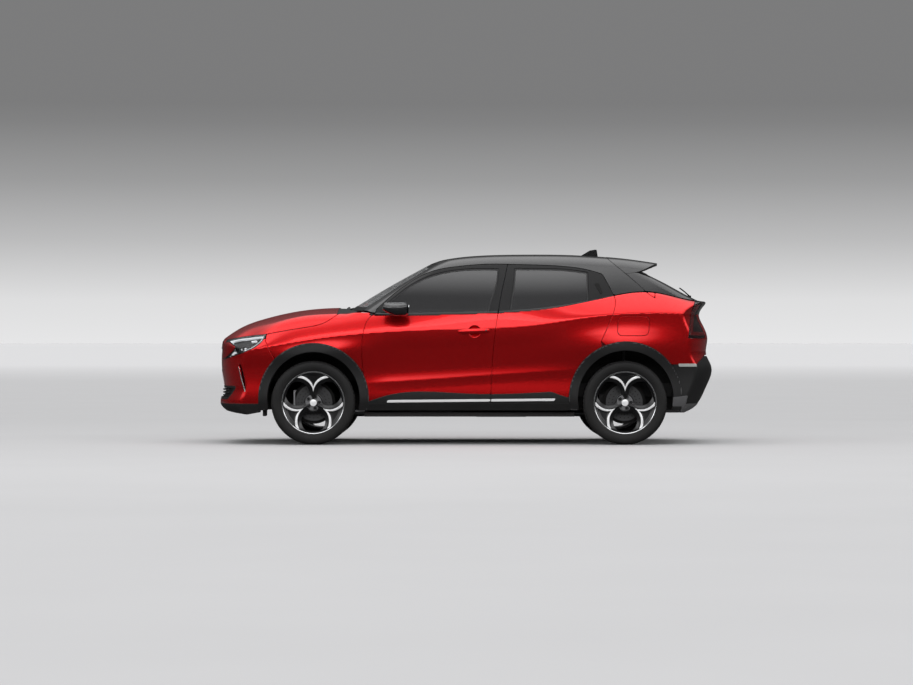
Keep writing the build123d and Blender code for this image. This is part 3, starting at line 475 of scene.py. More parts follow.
def slab(points, axis, low, high, radius=0.003, segments=2):
    # flat outline carried from low to high along an axis, with softened ends
    others = [k for k in range(3) if k != axis]
    work = bmesh.new()
    corners = []
    for point in points:
        place = [0.0, 0.0, 0.0]
        place[others[0]], place[others[1]], place[axis] = point[0], point[1], low
        corners.append(work.verts.new(place))
    face = work.faces.new(corners)
    top = bmesh.ops.extrude_face_region(work, geom=[face])["geom"]
    for v in top:
        if isinstance(v, bmesh.types.BMVert):
            v.co[axis] = high
    if radius:
        ends = [e for e in work.edges if abs(e.verts[0].co[axis] - e.verts[1].co[axis]) < 1e-9]
        bmesh.ops.bevel(work, geom=ends, offset=radius, segments=segments, affect="EDGES", profile=0.5)
    return arrays(work)


def wrapped(rows, columns, closedRows):
    i, j = np.meshgrid(np.arange(rows if closedRows else rows - 1), np.arange(columns), indexing="ij")
    i, j = i.ravel(), j.ravel()
    k, m = (i + 1) % rows, (j + 1) % columns
    a, b, c, d = i * columns + j, i * columns + m, k * columns + m, k * columns + j
    return np.concatenate([np.stack([a, b, c], 1), np.stack([a, c, d], 1)])


def skin(rings):                        # closed solid through rings of equally many points
    rings = [np.array(ring, float) for ring in rings]
    count = len(rings[0])
    points = np.concatenate(rings)
    faces = [wrapped(len(rings), count, False)]
    for start in (0, len(points) - count):
        points = np.concatenate([points, [points[start:start + count].mean(0)]])
        a = start + np.arange(count)
        b = start + (np.arange(count) + 1) % count
        faces.append(np.stack([a, b, np.full(count, len(points) - 1)], 1))
    return points, None, np.concatenate(faces)


def lathe(profile, centre, count=96, axis=1):
    # closed (radius, along) profile turned about an axis through the centre
    profile = np.array(profile, float)
    turn = np.linspace(0, 2 * math.pi, count, endpoint=False)[:, None]
    r, along = profile[:, 0][None], profile[:, 1][None]
    others = [k for k in range(3) if k != axis]
    points = np.zeros((count, len(profile), 3))
    points[..., axis] = along
    points[..., others[0]] = r * np.cos(turn)
    points[..., others[1]] = r * np.sin(turn)
    return points.reshape(-1, 3) + np.array(centre), None, wrapped(count, len(profile), True)


def tube(path, radius, count=10, squash=1.0):
    # round or flattened bar along a path, closed at both ends
    path = np.array(path, float)
    radii = np.full(len(path), radius) if np.isscalar(radius) else np.array(radius)
    way = np.gradient(path, axis=0)
    way /= np.linalg.norm(way, axis=1, keepdims=True)
    side = np.cross(way, [0, 0, 1.0])
    flat = np.linalg.norm(side, axis=1) < 1e-3
    side[flat] = np.cross(way[flat], [1.0, 0, 0])
    side /= np.linalg.norm(side, axis=1, keepdims=True)
    up = np.cross(side, way)
    turn = np.linspace(0, 2 * math.pi, count, endpoint=False)
    rings = [path[k] + radii[k] * (np.cos(turn)[:, None] * side[k] + squash * np.sin(turn)[:, None] * up[k])
             for k in range(len(path))]
    return skin(rings)


def arc(points, step=0.01):             # smooth line in space through a few points
    points = np.array(points, float)
    along = np.concatenate([[0], np.cumsum(np.linalg.norm(np.diff(points, axis=0), axis=1))])
    t = np.linspace(0, along[-1], max(4, int(along[-1] / step)))
    return np.stack([bend(list(zip(along, points[:, k])))(t) for k in range(points.shape[1])], 1)


def meshObject(name, part, material, body, replaces=()):
    p, n, faces = part
    mesh = bpy.data.meshes.new(name)
    mesh.vertices.add(len(p))
    mesh.vertices.foreach_set("co", p.astype(np.float32).ravel())
    mesh.loops.add(faces.size)
    mesh.loops.foreach_set("vertex_index", faces.astype(np.int32).ravel())
    mesh.polygons.add(len(faces))
    mesh.polygons.foreach_set("loop_start", np.arange(0, faces.size, 3, dtype=np.int32))
    mesh.update(calc_edges=True)
    mesh.validate()
    mesh.polygons.foreach_set("use_smooth", np.ones(len(mesh.polygons), bool))
    if n is not None and len(n) == len(mesh.vertices):
        mesh.normals_split_custom_set_from_vertices(n.astype(np.float32))
    if n is None:
        outwards(mesh)
        mesh.set_sharp_from_angle(angle=math.radians(38))
    mesh.materials.append(finish[material])
    piece = bpy.data.objects.new(name, mesh)
    scene.collection.objects.link(piece)
    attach(piece, body)
    if replaces:
        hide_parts(*replaces)
    return piece


# shader groups shared by several finishes
def newGroup(name, inputs, outputs):    # inputs and outputs are (name, kind, starting value)
    group = bpy.data.node_groups.new(name, "ShaderNodeTree")
    for label, kind, value in inputs:
        socket = group.interface.new_socket(label, in_out="INPUT", socket_type="NodeSocket" + kind)
        if value is not None:
            socket.default_value = value
    for label, kind in outputs:
        group.interface.new_socket(label, in_out="OUTPUT", socket_type="NodeSocket" + kind)
    return group, group.nodes.new("NodeGroupInput"), group.nodes.new("NodeGroupOutput")


def addNode(tree, kind, values=None, **fields):
    node = tree.nodes.new("ShaderNode" + kind)
    for field, value in fields.items():
        setattr(node, field, value)
    for socket, value in (values or {}).items():
        if isinstance(value, bpy.types.NodeSocket):
            tree.links.new(value, node.inputs[socket])
        else:
            node.inputs[socket].default_value = value
    return node


def grainGroup():                       # fine bumps and dull and shiny patches of a moulded surface
    group, start, end = newGroup("surfaceGrain", [("Scale", "Float", 900), ("Height", "Float", 0.2),
                                                  ("Rough", "Float", 0.4), ("Spread", "Float", 0.08)],
                                 [("Roughness", "Float"), ("Normal", "Vector")])
    place = addNode(group, "TexCoord").outputs["Object"]
    cells = addNode(group, "TexVoronoi", {"Vector": place, "Scale": start.outputs["Scale"]})
    cloud = addNode(group, "TexNoise", {"Vector": place, "Scale": 7.0, "Detail": 5.0})
    shift = addNode(group, "Math", {0: cloud.outputs["Fac"], 1: 0.5}, operation="SUBTRACT")
    scaled = addNode(group, "Math", {0: shift.outputs[0], 1: start.outputs["Spread"]}, operation="MULTIPLY")
    rough = addNode(group, "Math", {0: scaled.outputs[0], 1: start.outputs["Rough"]}, operation="ADD")
    bump = addNode(group, "Bump", {"Height": cells.outputs["Distance"], "Strength": start.outputs["Height"],
                                   "Distance": 0.0005})
    group.links.new(rough.outputs[0], end.inputs["Roughness"])
    group.links.new(bump.outputs[0], end.inputs["Normal"])
    return group


def flakeGroup():                       # metal flakes under lacquer, each a little lighter or darker
    group, start, end = newGroup("metalFlakes",
                                 [("Paint", "Color", (1, 0, 0, 1)), ("Flake", "Color", (1, 1, 1, 1)),
                                  ("Amount", "Float", 0.3), ("Scale", "Float", 1500)],
                                 [("Color", "Color"), ("Normal", "Vector")])
    place = addNode(group, "TexCoord").outputs["Object"]
    cells = addNode(group, "TexVoronoi", {"Vector": place, "Scale": start.outputs["Scale"]})
    tone = addNode(group, "SeparateColor", {"Color": cells.outputs["Color"]})
    strong = addNode(group, "MapRange", {"Value": tone.outputs[0], "From Min": 0.55, "From Max": 1.0})
    amount = addNode(group, "Math", {0: strong.outputs[0], 1: start.outputs["Amount"]}, operation="MULTIPLY")
    mix = addNode(group, "Mix", {"Factor": amount.outputs[0], "A": start.outputs["Paint"],
                                 "B": start.outputs["Flake"]}, data_type="RGBA")
    peel = addNode(group, "TexNoise", {"Vector": place, "Scale": 260.0, "Detail": 1.0})
    bump = addNode(group, "Bump", {"Height": peel.outputs["Fac"], "Strength": 0.012, "Distance": 0.001})
    group.links.new(mix.outputs["Result"], end.inputs["Color"])
    group.links.new(bump.outputs[0], end.inputs["Normal"])
    return group


def dustGroup():                        # a thin film that gathers low down and in patches
    group, start, end = newGroup("roadDust", [("Color", "Color", (0.02, 0.02, 0.02, 1)),
                                              ("Dust", "Color", (0.16, 0.15, 0.14, 1)),
                                              ("Amount", "Float", 0.2)],
                                 [("Color", "Color")])
    place = addNode(group, "TexCoord").outputs["Object"]
    cloud = addNode(group, "TexNoise", {"Vector": place, "Scale": 5.0, "Detail": 6.0, "Roughness": 0.65})
    height = addNode(group, "SeparateXYZ", {0: place})
    low = addNode(group, "MapRange", {"Value": height.outputs["Z"], "From Min": 0.05, "From Max": 0.7,
                                      "To Min": 1.0, "To Max": 0.25})
    share = addNode(group, "Math", {0: cloud.outputs["Fac"], 1: low.outputs[0]}, operation="MULTIPLY")
    amount = addNode(group, "Math", {0: share.outputs[0], 1: start.outputs["Amount"]}, operation="MULTIPLY")
    mix = addNode(group, "Mix", {"Factor": amount.outputs[0], "A": start.outputs["Color"],
                                 "B": start.outputs["Dust"]}, data_type="RGBA")
    group.links.new(mix.outputs["Result"], end.inputs["Color"])
    return group


def weaveGroup():                       # over and under threads, from object coordinates
    group, start, end = newGroup("clothWeave", [("Thread", "Color", (0.05, 0.05, 0.055, 1)),
                                                ("Gap", "Color", (0.015, 0.015, 0.017, 1)),
                                                ("Scale", "Float", 420)],
                                 [("Color", "Color"), ("Normal", "Vector")])
    place = addNode(group, "TexCoord").outputs["Object"]
    waves = []
    for turn in ("X", "Z"):
        waves.append(addNode(group, "TexWave", {"Vector": place, "Scale": start.outputs["Scale"],
                                                "Distortion": 0.6, "Detail": 1.0}, bands_direction=turn))
    crossing = addNode(group, "Math", {0: waves[0].outputs["Fac"], 1: waves[1].outputs["Fac"]},
                       operation="MULTIPLY")
    cloud = addNode(group, "TexNoise", {"Vector": place, "Scale": 60.0, "Detail": 3.0})
    worn = addNode(group, "Math", {0: crossing.outputs[0], 1: cloud.outputs["Fac"]}, operation="MULTIPLY")
    share = addNode(group, "MapRange", {"Value": worn.outputs[0], "From Max": 0.5})
    mix = addNode(group, "Mix", {"Factor": share.outputs[0], "A": start.outputs["Gap"],
                                 "B": start.outputs["Thread"]}, data_type="RGBA")
    bump = addNode(group, "Bump", {"Height": crossing.outputs[0], "Strength": 0.35, "Distance": 0.0006})
    group.links.new(mix.outputs["Result"], end.inputs["Color"])
    group.links.new(bump.outputs[0], end.inputs["Normal"])
    return group


groups = {"grain": grainGroup(), "flakes": flakeGroup(), "dust": dustGroup(), "weave": weaveGroup()}


def newMaterial(name, values):
    material = bpy.data.materials.new(name)
    material.use_nodes = True
    shader = material.node_tree.nodes["Principled BSDF"]
    for socket, value in values.items():
        shader.inputs[socket].default_value = value
    return material, material.node_tree, shader


def useGroup(tree, shader, group, values, links):
    node = addNode(tree, "Group", node_tree=groups[group])
    for socket, value in values.items():
        node.inputs[socket].default_value = value
    for output, socket in links.items():
        tree.links.new(node.outputs[output], shader.inputs[socket])
    return node


def paintMaterial(name, paint, flake, amount, metallic, rough, coat=0.7):
    material, tree, shader = newMaterial(name, {"Metallic": metallic, "Roughness": rough, "Coat Weight": coat,
                                                "Coat Roughness": 0.02, "Coat IOR": 1.5})
    useGroup(tree, shader, "flakes", {"Paint": (*paint, 1), "Flake": (*flake, 1), "Amount": amount},
             {"Color": "Base Color", "Normal": "Normal"})
    return material


def plasticMaterial(name, color, rough, scale=900, height=0.2, spread=0.08, dust=0.25):
    material, tree, shader = newMaterial(name, {"Specular IOR Level": 0.28})
    useGroup(tree, shader, "grain", {"Scale": scale, "Height": height, "Rough": rough, "Spread": spread},
             {"Roughness": "Roughness", "Normal": "Normal"})
    useGroup(tree, shader, "dust", {"Color": (*color, 1), "Amount": dust}, {"Color": "Base Color"})
    return material


def metalMaterial(name, color, rough, scale=300, height=0.05, spread=0.06, metallic=1.0):
    material, tree, shader = newMaterial(name, {"Base Color": (*color, 1), "Metallic": metallic})
    useGroup(tree, shader, "grain", {"Scale": scale, "Height": height, "Rough": rough, "Spread": spread},
             {"Roughness": "Roughness", "Normal": "Normal"})
    return material


def glassMaterial(name, color, alpha, rough=0.0):
    # thin tinted pane: seen through by its alpha, with smears in its gloss
    material, tree, shader = newMaterial(name, {"Base Color": (*color, 1), "Alpha": alpha, "IOR": 1.5,
                                                "Specular IOR Level": 0.6, "Coat Weight": 0.6,
                                                "Coat Roughness": 0.0})
    useGroup(tree, shader, "grain", {"Scale": 40, "Height": 0.0, "Rough": rough + 0.02, "Spread": 0.03},
             {"Roughness": "Roughness"})
    return material


def glowMaterial(name, color, strength):
    material, tree, shader = newMaterial(name, {"Base Color": (*color, 1), "Roughness": 0.25,
                                                "Emission Strength": strength})
    place = addNode(tree, "TexCoord").outputs["Object"]
    cells = addNode(tree, "TexVoronoi", {"Vector": place, "Scale": 260.0})
    mix = addNode(tree, "Mix", {"Factor": cells.outputs["Distance"], "A": (*color, 1),
                                "B": (*(c * 0.6 for c in color), 1)}, data_type="RGBA")
    tree.links.new(mix.outputs["Result"], shader.inputs["Emission Color"])
    return material


def clothMaterial(name, thread, gap, scale=420):
    material, tree, shader = newMaterial(name, {"Roughness": 0.85, "Sheen Weight": 0.25,
                                                "Sheen Roughness": 0.5})
    useGroup(tree, shader, "weave", {"Thread": (*thread, 1), "Gap": (*gap, 1), "Scale": scale},
             {"Color": "Base Color", "Normal": "Normal"})
    return material


finish = {
    "red": paintMaterial("paintRed", (0.62, 0.0015, 0.004), (1.0, 0.07, 0.06), 0.30, 0.86, 0.26, 0.45),
    "black": paintMaterial("paintBlack", (0.004, 0.004, 0.0045), (0.05, 0.05, 0.055), 0.1, 0.0, 0.25),
    "cladding": plasticMaterial("claddingGrain", (0.008, 0.008, 0.0084), 0.50, 1100, 0.25, 0.08, 0.08),
    "trim": plasticMaterial("smoothTrim", (0.006, 0.006, 0.0065), 0.28, 700, 0.05, 0.05, 0.08),
    "soft": plasticMaterial("dashSkin", (0.02, 0.02, 0.021), 0.6, 700, 0.3),
    "rubber": plasticMaterial("tyreRubber", (0.006, 0.006, 0.0062), 0.62, 600, 0.15, 0.12, 0.08),
    "under": plasticMaterial("undersideCoat", (0.020, 0.020, 0.021), 0.7, 200, 0.4, 0.1, 0.25),
    "steel": metalMaterial("plainSteel", (0.42, 0.42, 0.43), 0.38),
    "bright": metalMaterial("satinBright", (0.78, 0.79, 0.80), 0.18, 500, 0.02),
    "rim": paintMaterial("wheelBlack", (0.004, 0.004, 0.0045), (0.06, 0.06, 0.065), 0.12, 0.2, 0.3, 0.4),
    "clear": glassMaterial("clearGlass", (0.10, 0.11, 0.115), 0.38),
    "dark": glassMaterial("darkGlass", (0.010, 0.010, 0.011), 0.86),
    "lens": glassMaterial("lampLens", (0.02, 0.02, 0.021), 0.10),
    "lampRed": glassMaterial("lampRedLens", (0.22, 0.002, 0.004), 0.9),
    "glow": glowMaterial("daylightStrip", (0.80, 0.83, 0.86), 0.45),
    "cloth": clothMaterial("seatCloth", (0.07, 0.07, 0.075), (0.02, 0.02, 0.022)),
    "liner": plasticMaterial("wellLiner", (0.006, 0.006, 0.006), 0.8, 260, 0.4, 0.08, 0.15),
    "disc": metalMaterial("brakeDisc", (0.10, 0.10, 0.102), 0.42, 300, 0.05, 0.08),
    "leather": plasticMaterial("dullLeather", (0.022, 0.022, 0.023), 0.45, 420, 0.35, 0.1, 0.1),
    "lining": clothMaterial("roofCloth", (0.16, 0.16, 0.165), (0.09, 0.09, 0.095), 600),
    "inside": paintMaterial("paintInside", (0.30, 0.006, 0.012), (0.6, 0.08, 0.07), 0.3, 0.3, 0.45),
    "plate": plasticMaterial("blankPlate", (0.55, 0.55, 0.56), 0.4, 500, 0.05, 0.05, 0.1),
    # lighter grey for the thin band on the arches' edges: a painted highlight
    "lip": plasticMaterial("claddingPaintedHighlight", (0.060, 0.060, 0.062), 0.42, 1100, 0.15),
    "satin": plasticMaterial("satinGrey", (0.075, 0.075, 0.078), 0.34, 800, 0.06, 0.06, 0.15),
    "haze": glassMaterial("reflectorLens", (0.42, 0.44, 0.42), 0.8),
    "smoke": glassMaterial("smokedLens", (0.02, 0.012, 0.012), 0.45),
    "mirror": metalMaterial("mirrorGlass", (0.85, 0.86, 0.87), 0.03, 60, 0.0, 0.02),
    "silver": metalMaterial("machinedSilver", (0.88, 0.885, 0.89), 0.25, 700, 0.03, 0.05, 0.25),
    "barrel": metalMaterial("barrelGrey", (0.20, 0.20, 0.205), 0.42, 400, 0.05, 0.06, 0.6),
    "screen": plasticMaterial("screenGlass", (0.004, 0.005, 0.006), 0.08, 60, 0.0, 0.02, 0.05),
}
print("materials:", len(finish))

# the surfaces every panel is cut from
lowerGrid = bodyGrid()
innerGrid = thinned(lowerGrid)
bonnetGrid = topGrid(bodyField, -1.72, -0.8, 0.42, 62, tip=68)
cabinGrid = topGrid(cabinField, -1.16, 2.02, 0.95, 84)
roofGrid = topGrid(roofField, 0.9, 1.62, 0.95, 80)
sideGlassGrid = patch(cabinField, (-1.10, 1.30), (1.02, 1.53), -0.2, (0, -1, 0), 0.0075)
print("surfaces cast:", len(lowerGrid[1]), len(bonnetGrid[1]), len(cabinGrid[1]))

gap = car["gap"]
splitLine = [(0.201, 0.30), (0.207, 0.415), (0.225, 0.769), (0.246, 0.959), (0.269, 1.102),
             (0.295, 1.248), (0.319, 1.356), (0.347, 1.486)]
doorNose = [(-0.738, 1.086), (-0.792, 1.041), (-0.833, 0.959), (-0.850, 0.851), (-0.850, 0.687),
            (-0.840, 0.564), (-0.826, 0.30)]
frontRoofLine = [(0.347, 1.486), (0.172, 1.487), (-0.047, 1.470), (-0.195, 1.449), (-0.332, 1.408),
                 (-0.469, 1.332), (-0.606, 1.229), (-0.738, 1.108)]
rearRoofLine = [(0.347, 1.486), (0.639, 1.478), (0.845, 1.465), (1.010, 1.439), (1.129, 1.404)]
rearDoorTail = [(1.129, 1.404), (1.179, 1.314), (1.213, 1.246), (1.231, 1.178), (1.220, 1.110),
                (1.179, 1.000), (1.110, 0.846)]
bonnetLine = [(-1.640, 0.907), (-1.422, 0.946), (-1.286, 0.968), (-1.176, 0.995), (-1.095, 1.042),
              (-1.047, 1.075)]
noseLine = [(-2.2, 0.850), (-1.974, 0.865), (-1.892, 0.879), (-1.640, 0.907)]
frontDoor = outline([splitLine, frontRoofLine, doorNose])
rearDoor = outline([splitLine, rearRoofLine, rearDoorTail, (1.180, 0.30)])
frontWindow = outline([[(0.196, 1.085), (0.199, 1.124), (0.247, 1.275), (0.274, 1.448)],
                       [(0.274, 1.448), (-0.058, 1.441), (-0.195, 1.418), (-0.332, 1.376), (-0.469, 1.303),
                        (-0.640, 1.165)], (-0.660, 1.080)], radius=0.02)
rearWindow = outline([[(0.362, 1.09), (0.365, 1.124), (0.388, 1.275), (0.404, 1.452)],
                      [(0.404, 1.452), (0.639, 1.450), (0.845, 1.441), (1.009, 1.418)], (1.012, 1.178),
                      (0.9, 1.10)], radius=0.012)
tailgateSide = outline([(1.185, 1.70), (1.185, 1.527),
                        [(1.326, 1.406), (1.463, 1.283), (1.532, 1.221), (1.600, 1.186)], (2.2, 1.15),
                        (2.2, 1.7)])
lampShape = outline([noseLine, [(-1.640, 0.907), (-1.673, 0.851), (-1.741, 0.795), (-1.837, 0.752),
                                (-1.933, 0.722), (-2.000, 0.700)], (-2.2, 0.69)], radius=0.012)
bumperShape = outline([noseLine, (-1.645, 0.851), (-1.602, 0.755), (-1.50, 0.60), (-1.50, 0.20),
                       (-2.2, 0.20)])
fenderShape = outline([bonnetLine, [(-1.047, 1.075), (-1.0, 1.083), (-0.836, 1.086), (-0.738, 1.086)],
                       doorNose[:-1], (-0.842, 0.30), (-1.4, 0.5), (-1.602, 0.755), (-1.645, 0.851)])
bonnetShape = outline([noseLine, bonnetLine, (-1.075, 1.3), (-2.2, 1.3)])
quarterShape = outline([rearDoorTail[1:], (1.30, 0.70), (1.50, 0.658), (1.897, 0.658), (1.975, 0.728),
                        (2.2, 0.728), (2.2, 1.4)])
rearBumperShape = outline([(1.30, 0.658), (1.897, 0.658), (1.975, 0.728), (2.2, 0.728), (2.2, 0.2),
                           (1.30, 0.2)])
rearLampSide = outline([[(1.828, 0.872), (1.846, 1.01), (1.860, 1.085), (1.904, 1.2)], (2.2, 1.2),
                        (2.2, 0.872)],
                       radius=0.01)
flapShape = outline([(1.242, 0.894), (1.50, 0.894), (1.508, 1.054), (1.25, 1.054)], radius=0.045)
tailgateRear = outline([[(-0.545, 0.735), (-0.56, 1.03), (-0.60, 1.16)], (-0.60, 1.24), (0.60, 1.24),
                        [(0.60, 1.16), (0.56, 1.03), (0.545, 0.735)]],
                       axes=(1, 2))
frontHole = disc(*car["frontArch"][:2], car["frontArch"][3])
rearHole = disc(*car["rearArch"][:2], car["rearArch"][3])
atNose = within(0, -2.3, -1.2)
atTail = within(0, 1.2, 2.3)
nearCabin = lambda p: np.where(p[..., 2] > curves["upperHeight"](p[..., 0]) - 0.020, cabinField(p), 1.0)
outsideCabin = lambda p: 0.0125 - nearCabin(p)
onBelt = lambda p: np.maximum(nearCabin(p) - 0.0105, 0.0005 - nearCabin(p))
aboveBody = lambda p: np.maximum(0.001 - bodyField(p), curves["upperHeight"](p[..., 0]) - 0.025 - p[..., 2])


def panel(name, grid, keep, material, bodies, depth=0.014, lift=0.0, edge=0.0025, replaces=None):
    # bodies is one name for both sides together, or the left and the right body
    part = shell(*cutPiece(grid, keep, lift), depth, edge)
    if isinstance(bodies, str):
        return [meshObject(name, joined(part, mirrored(*part)), material, bodies, replaces or ())]
    return [meshObject(f"{name}_{side}", part if side == "left" else mirrored(*part), material, body,
                       [f"{n}_{side}" for n in replaces or ()])
            for side, body in zip(("left", "right"), bodies)]


frontBodies = ("front_door_left", "front_door_right")
rearBodies = ("rear_door_left", "rear_door_right")
sideOut = lambda width: (lambda p: width - np.abs(p[..., 1]))
sideIn = lambda width: (lambda p: np.abs(p[..., 1]) - width)
underBelt = lambda level: (lambda p: p[..., 2] - level - 0.1 * ease(p[..., 0], 0.4, 1.1))


# doors: painted skin, cladding with its bright strip, dark window frame, glass, strip under it
sillZone = outline([(-0.90, 0.30), (-0.90, 0.354), [(-0.792, 0.354), (-0.670, 0.395), (0.035, 0.415),
                                                    (0.701, 0.431)], (0.823, 0.388), (1.0, 0.37),
                    (1.0, 0.30)])
aboveSill = within(2, 0.343, 2)
brightStrip = outline([(-0.650, 0.349), (-0.640, 0.366), (0.735, 0.378), (0.728, 0.362)])
pocketSpot = (0.072, 0.930, 0.053)
pocketHole = disc(*pocketSpot)
frontRing = both(disc(*car["frontArch"][:2], car["frontArch"][3]), within(2, 0.284, 2))
frontSkin = both(less(frontDoor, frontHole, sillZone), aboveSill)
rearSkin = both(less(rearDoor, rearHole, sillZone), aboveSill)
panel("doorSkin_front", lowerGrid, both(shrunk(frontSkin, gap), outsideCabin, less(frontSkin, pocketHole)),
      "red", frontBodies, depth=0.022, replaces=["front_door"])
panel("doorSkin_rear", lowerGrid, both(shrunk(rearSkin, gap), outsideCabin), "red",
      rearBodies, depth=0.022, replaces=["rear_door"])
for where, door, window, bodies, ring in (("front", frontDoor, frontWindow, frontBodies, frontHole),
                                          ("rear", rearDoor, rearWindow, rearBodies, rearHole)):
    lower = both(shrunk(less(door, ring), gap), sillZone, aboveSill)
    panel(f"doorCladding_{where}", lowerGrid, lower, "cladding", bodies, lift=0.004, depth=0.02, edge=0.004)
    panel(f"doorStrip_{where}", lowerGrid, both(lower, brightStrip), "silver", bodies, lift=0.0075,
          depth=0.004, edge=0.0015)
    panel(f"doorFrame_{where}", sideGlassGrid, both(shrunk(less(door, window), gap), aboveBody), "trim",
          bodies, depth=0.02, edge=0.002)
    panel(f"windowSeal_{where}", sideGlassGrid,
          both(shrunk(less(window, shrunk(window, 0.012)), 0), aboveBody),
          "soft", bodies, lift=-0.0035, depth=0.004, edge=0)
    panel(f"doorGlass_{where}", sideGlassGrid, both(window, aboveBody), "dark", bodies, depth=0.004,
          lift=-0.0055, edge=0, replaces=[f"{where}_door_glass"])
    panel(f"beltStrip_{where}", lowerGrid, both(shrunk(door, gap), onBelt), "trim", bodies,
          depth=0.006, lift=0.001, edge=0.001)
    inner = both(shrunk(less(door, ring), 0.045), underBelt(1.03), within(2, 0.40, 2))
    panel(f"doorCore_{where}", innerGrid, inner, "inside", bodies, lift=-0.024, depth=0.05, edge=0)
    card = both(shrunk(less(door, ring), 0.055), underBelt(1.04), within(2, 0.41, 2))
    panel(f"doorCard_{where}", innerGrid, card, "soft", bodies, lift=-0.075, depth=0.03, edge=0.006)


def bowl(spot, deep, material, name, bodies):     # round hollow in the body's side
    x, z, radius = spot
    turn = np.linspace(0, 2 * math.pi, 40, endpoint=False)
    share = np.linspace(1, 0.04, 9)
    ss, tt = np.meshgrid(share, turn, indexing="ij")
    origin = np.stack([x + radius * ss * np.cos(tt), 0 * ss - 0.4, z + radius * ss * np.sin(tt)],
                      -1).reshape(-1, 3)
    p, n = cast(bodyField, origin, np.tile([0, -1.0, 0], (len(origin), 1)), 1)
    sink = deep * (1 - ss.ravel() ** 2) ** 0.6
    p = p - n * (sink[:, None] + 0.001)
    faces = wrapped(len(share), len(turn), False)
    bowlPart = joined((p, None, faces), (p - n * 0.003, None, faces[:, ::-1]))
    for side, body in zip(("left", "right"), bodies):
        flip = np.array([1, 1 if side == "left" else -1, 1])
        rim = np.arange(len(turn))
        back = rim + len(p)
        edge = wrapped(2, len(turn), False)
        ring = np.concatenate([rim, back])[edge]
        base = (len(share) - 1) * len(turn)
        hub = np.concatenate([rim + base, back + base])[edge]
        meshObject(f"{name}_{side}", (bowlPart[0] * flip, None, np.concatenate([bowlPart[2], ring, hub])),
                   material, body)


bowl(pocketSpot, 0.020, "red", "handlePocket", frontBodies)


def onSide(points, lift, field=bodyField):        # (x, z) points put on the left side, lifted off it
    points = np.array(points, float)
    origin = np.stack([points[:, 0], 0 * points[:, 0] - 0.4, points[:, 1]], -1)
    p, n = cast(field, origin, np.tile([0, -1.0, 0], (len(origin), 1)), 1)
    return p + n * (np.array(lift)[:, None] if np.ndim(lift) else lift)


def pair(name, part, material, bodies):
    if isinstance(bodies, str):
        return [meshObject(name, joined(part, mirrored(*part)), material, bodies, ())]
    out = []
    for side, body in zip(("left", "right"), bodies):
        sign = np.array([1, 1 if side == "left" else -1, 1])
        out.append(meshObject(f"{name}_{side}", (part[0] * sign, None, part[2]), material, body, ()))
    return out


# front door's pull bar over its hollow, and the rear door's handle hidden behind the window
bar = onSide([(-0.058, 0.926), (-0.03, 0.928), (0.02, 0.930), (0.075, 0.932), (0.13, 0.935), (0.172, 0.937),
              (0.190, 0.938)], [0.0, 0.008, 0.012, 0.013, 0.012, 0.009, 0.001])
barPath = arc(bar, 0.008)
pair("pullBar",
     tube(barPath, 0.0115 * np.sin(np.linspace(0.35, math.pi - 0.35, len(barPath))) ** 0.4, 14, squash=1.8),
     "red", frontBodies)
keyCap = onSide([(0.160, 0.937), (0.172, 0.9375)], 0.0145)
pair("keyCap", tube(keyCap, 0.0075, 12), "black", frontBodies)
hidden = outline([(1.062, 1.325), (1.098, 1.327), (1.128, 1.250), (1.112, 1.236)], radius=0.008)
panel("hiddenHandle", patch(cabinField, (1.04, 1.15), (1.22, 1.34), -0.3, (0, -1, 0)), hidden, "liner",
      rearBodies, lift=0.0035, depth=0.01, edge=0.002)
print("doors done")

# front end
redWedge = outline([(-2.2, 0.842), (-1.965, 0.845), (-1.900, 0.802),
                    [(-1.926, 0.766), (-1.985, 0.722), (-2.03, 0.70)], (-2.2, 0.69)], radius=0.008)
lampArea = both(less(lampShape, redWedge), sideOut(0.44))
slitShape = outline([[(-1.850, 0.660), (-1.822, 0.560), (-1.806, 0.440)],
                     [(-1.818, 0.436), (-1.846, 0.545), (-1.872, 0.668)]],
                    radius=0.004)
grilleShape = outline([(-0.405, 0.800), (0.405, 0.800), (0.345, 0.600), (-0.345, 0.600)], axes=(1, 2),
                      radius=0.03)
intakeShape = outline([(-0.700, 0.475), (0.700, 0.475), (0.620, 0.375), (-0.620, 0.375)], axes=(1, 2),
                      radius=0.025)
chinShape = within(2, 0.2, 0.332)
panel("fenderSkins", lowerGrid, both(shrunk(less(fenderShape, frontHole), gap), outsideCabin), "red",
      "body", replaces=["front_fenders"])
panel("bonnetSkin", bonnetGrid, both(shrunk(bonnetShape, gap), within(0, -2.3, -1.06)), "red",
      "bonnet", depth=0.018, replaces=["bonnet"])
noseShape = shrunk(less(bumperShape, lampArea, frontHole), gap)
panel("bumperSkin", lowerGrid,
      both(less(noseShape, slitShape, both(grilleShape, atNose), both(intakeShape, atNose)),
           within(2, 0.334, 2)),
      "red", "body", depth=0.012, replaces=["front_bumper"])
panel("bumperChin", lowerGrid, both(noseShape, chinShape), "cladding", "body", lift=0.002, depth=0.02,
      edge=0.004)
panel("slitTrim", lowerGrid, both(slitShape, sideOut(0.5)), "trim", "body", lift=-0.022, depth=0.004, edge=0)
sidePatch = patch(bodyField, (-2.05, -1.60), (0.40, 0.93), -0.2, (0, -1, 0), 0.0045)
panel("slitBright", sidePatch,
      outline([[(-1.868, 0.640), (-1.843, 0.540), (-1.812, 0.437)],
               [(-1.818, 0.433), (-1.849, 0.537), (-1.874, 0.640)]]), "bright", "body",
      lift=0.002, depth=0.006, edge=0.001)

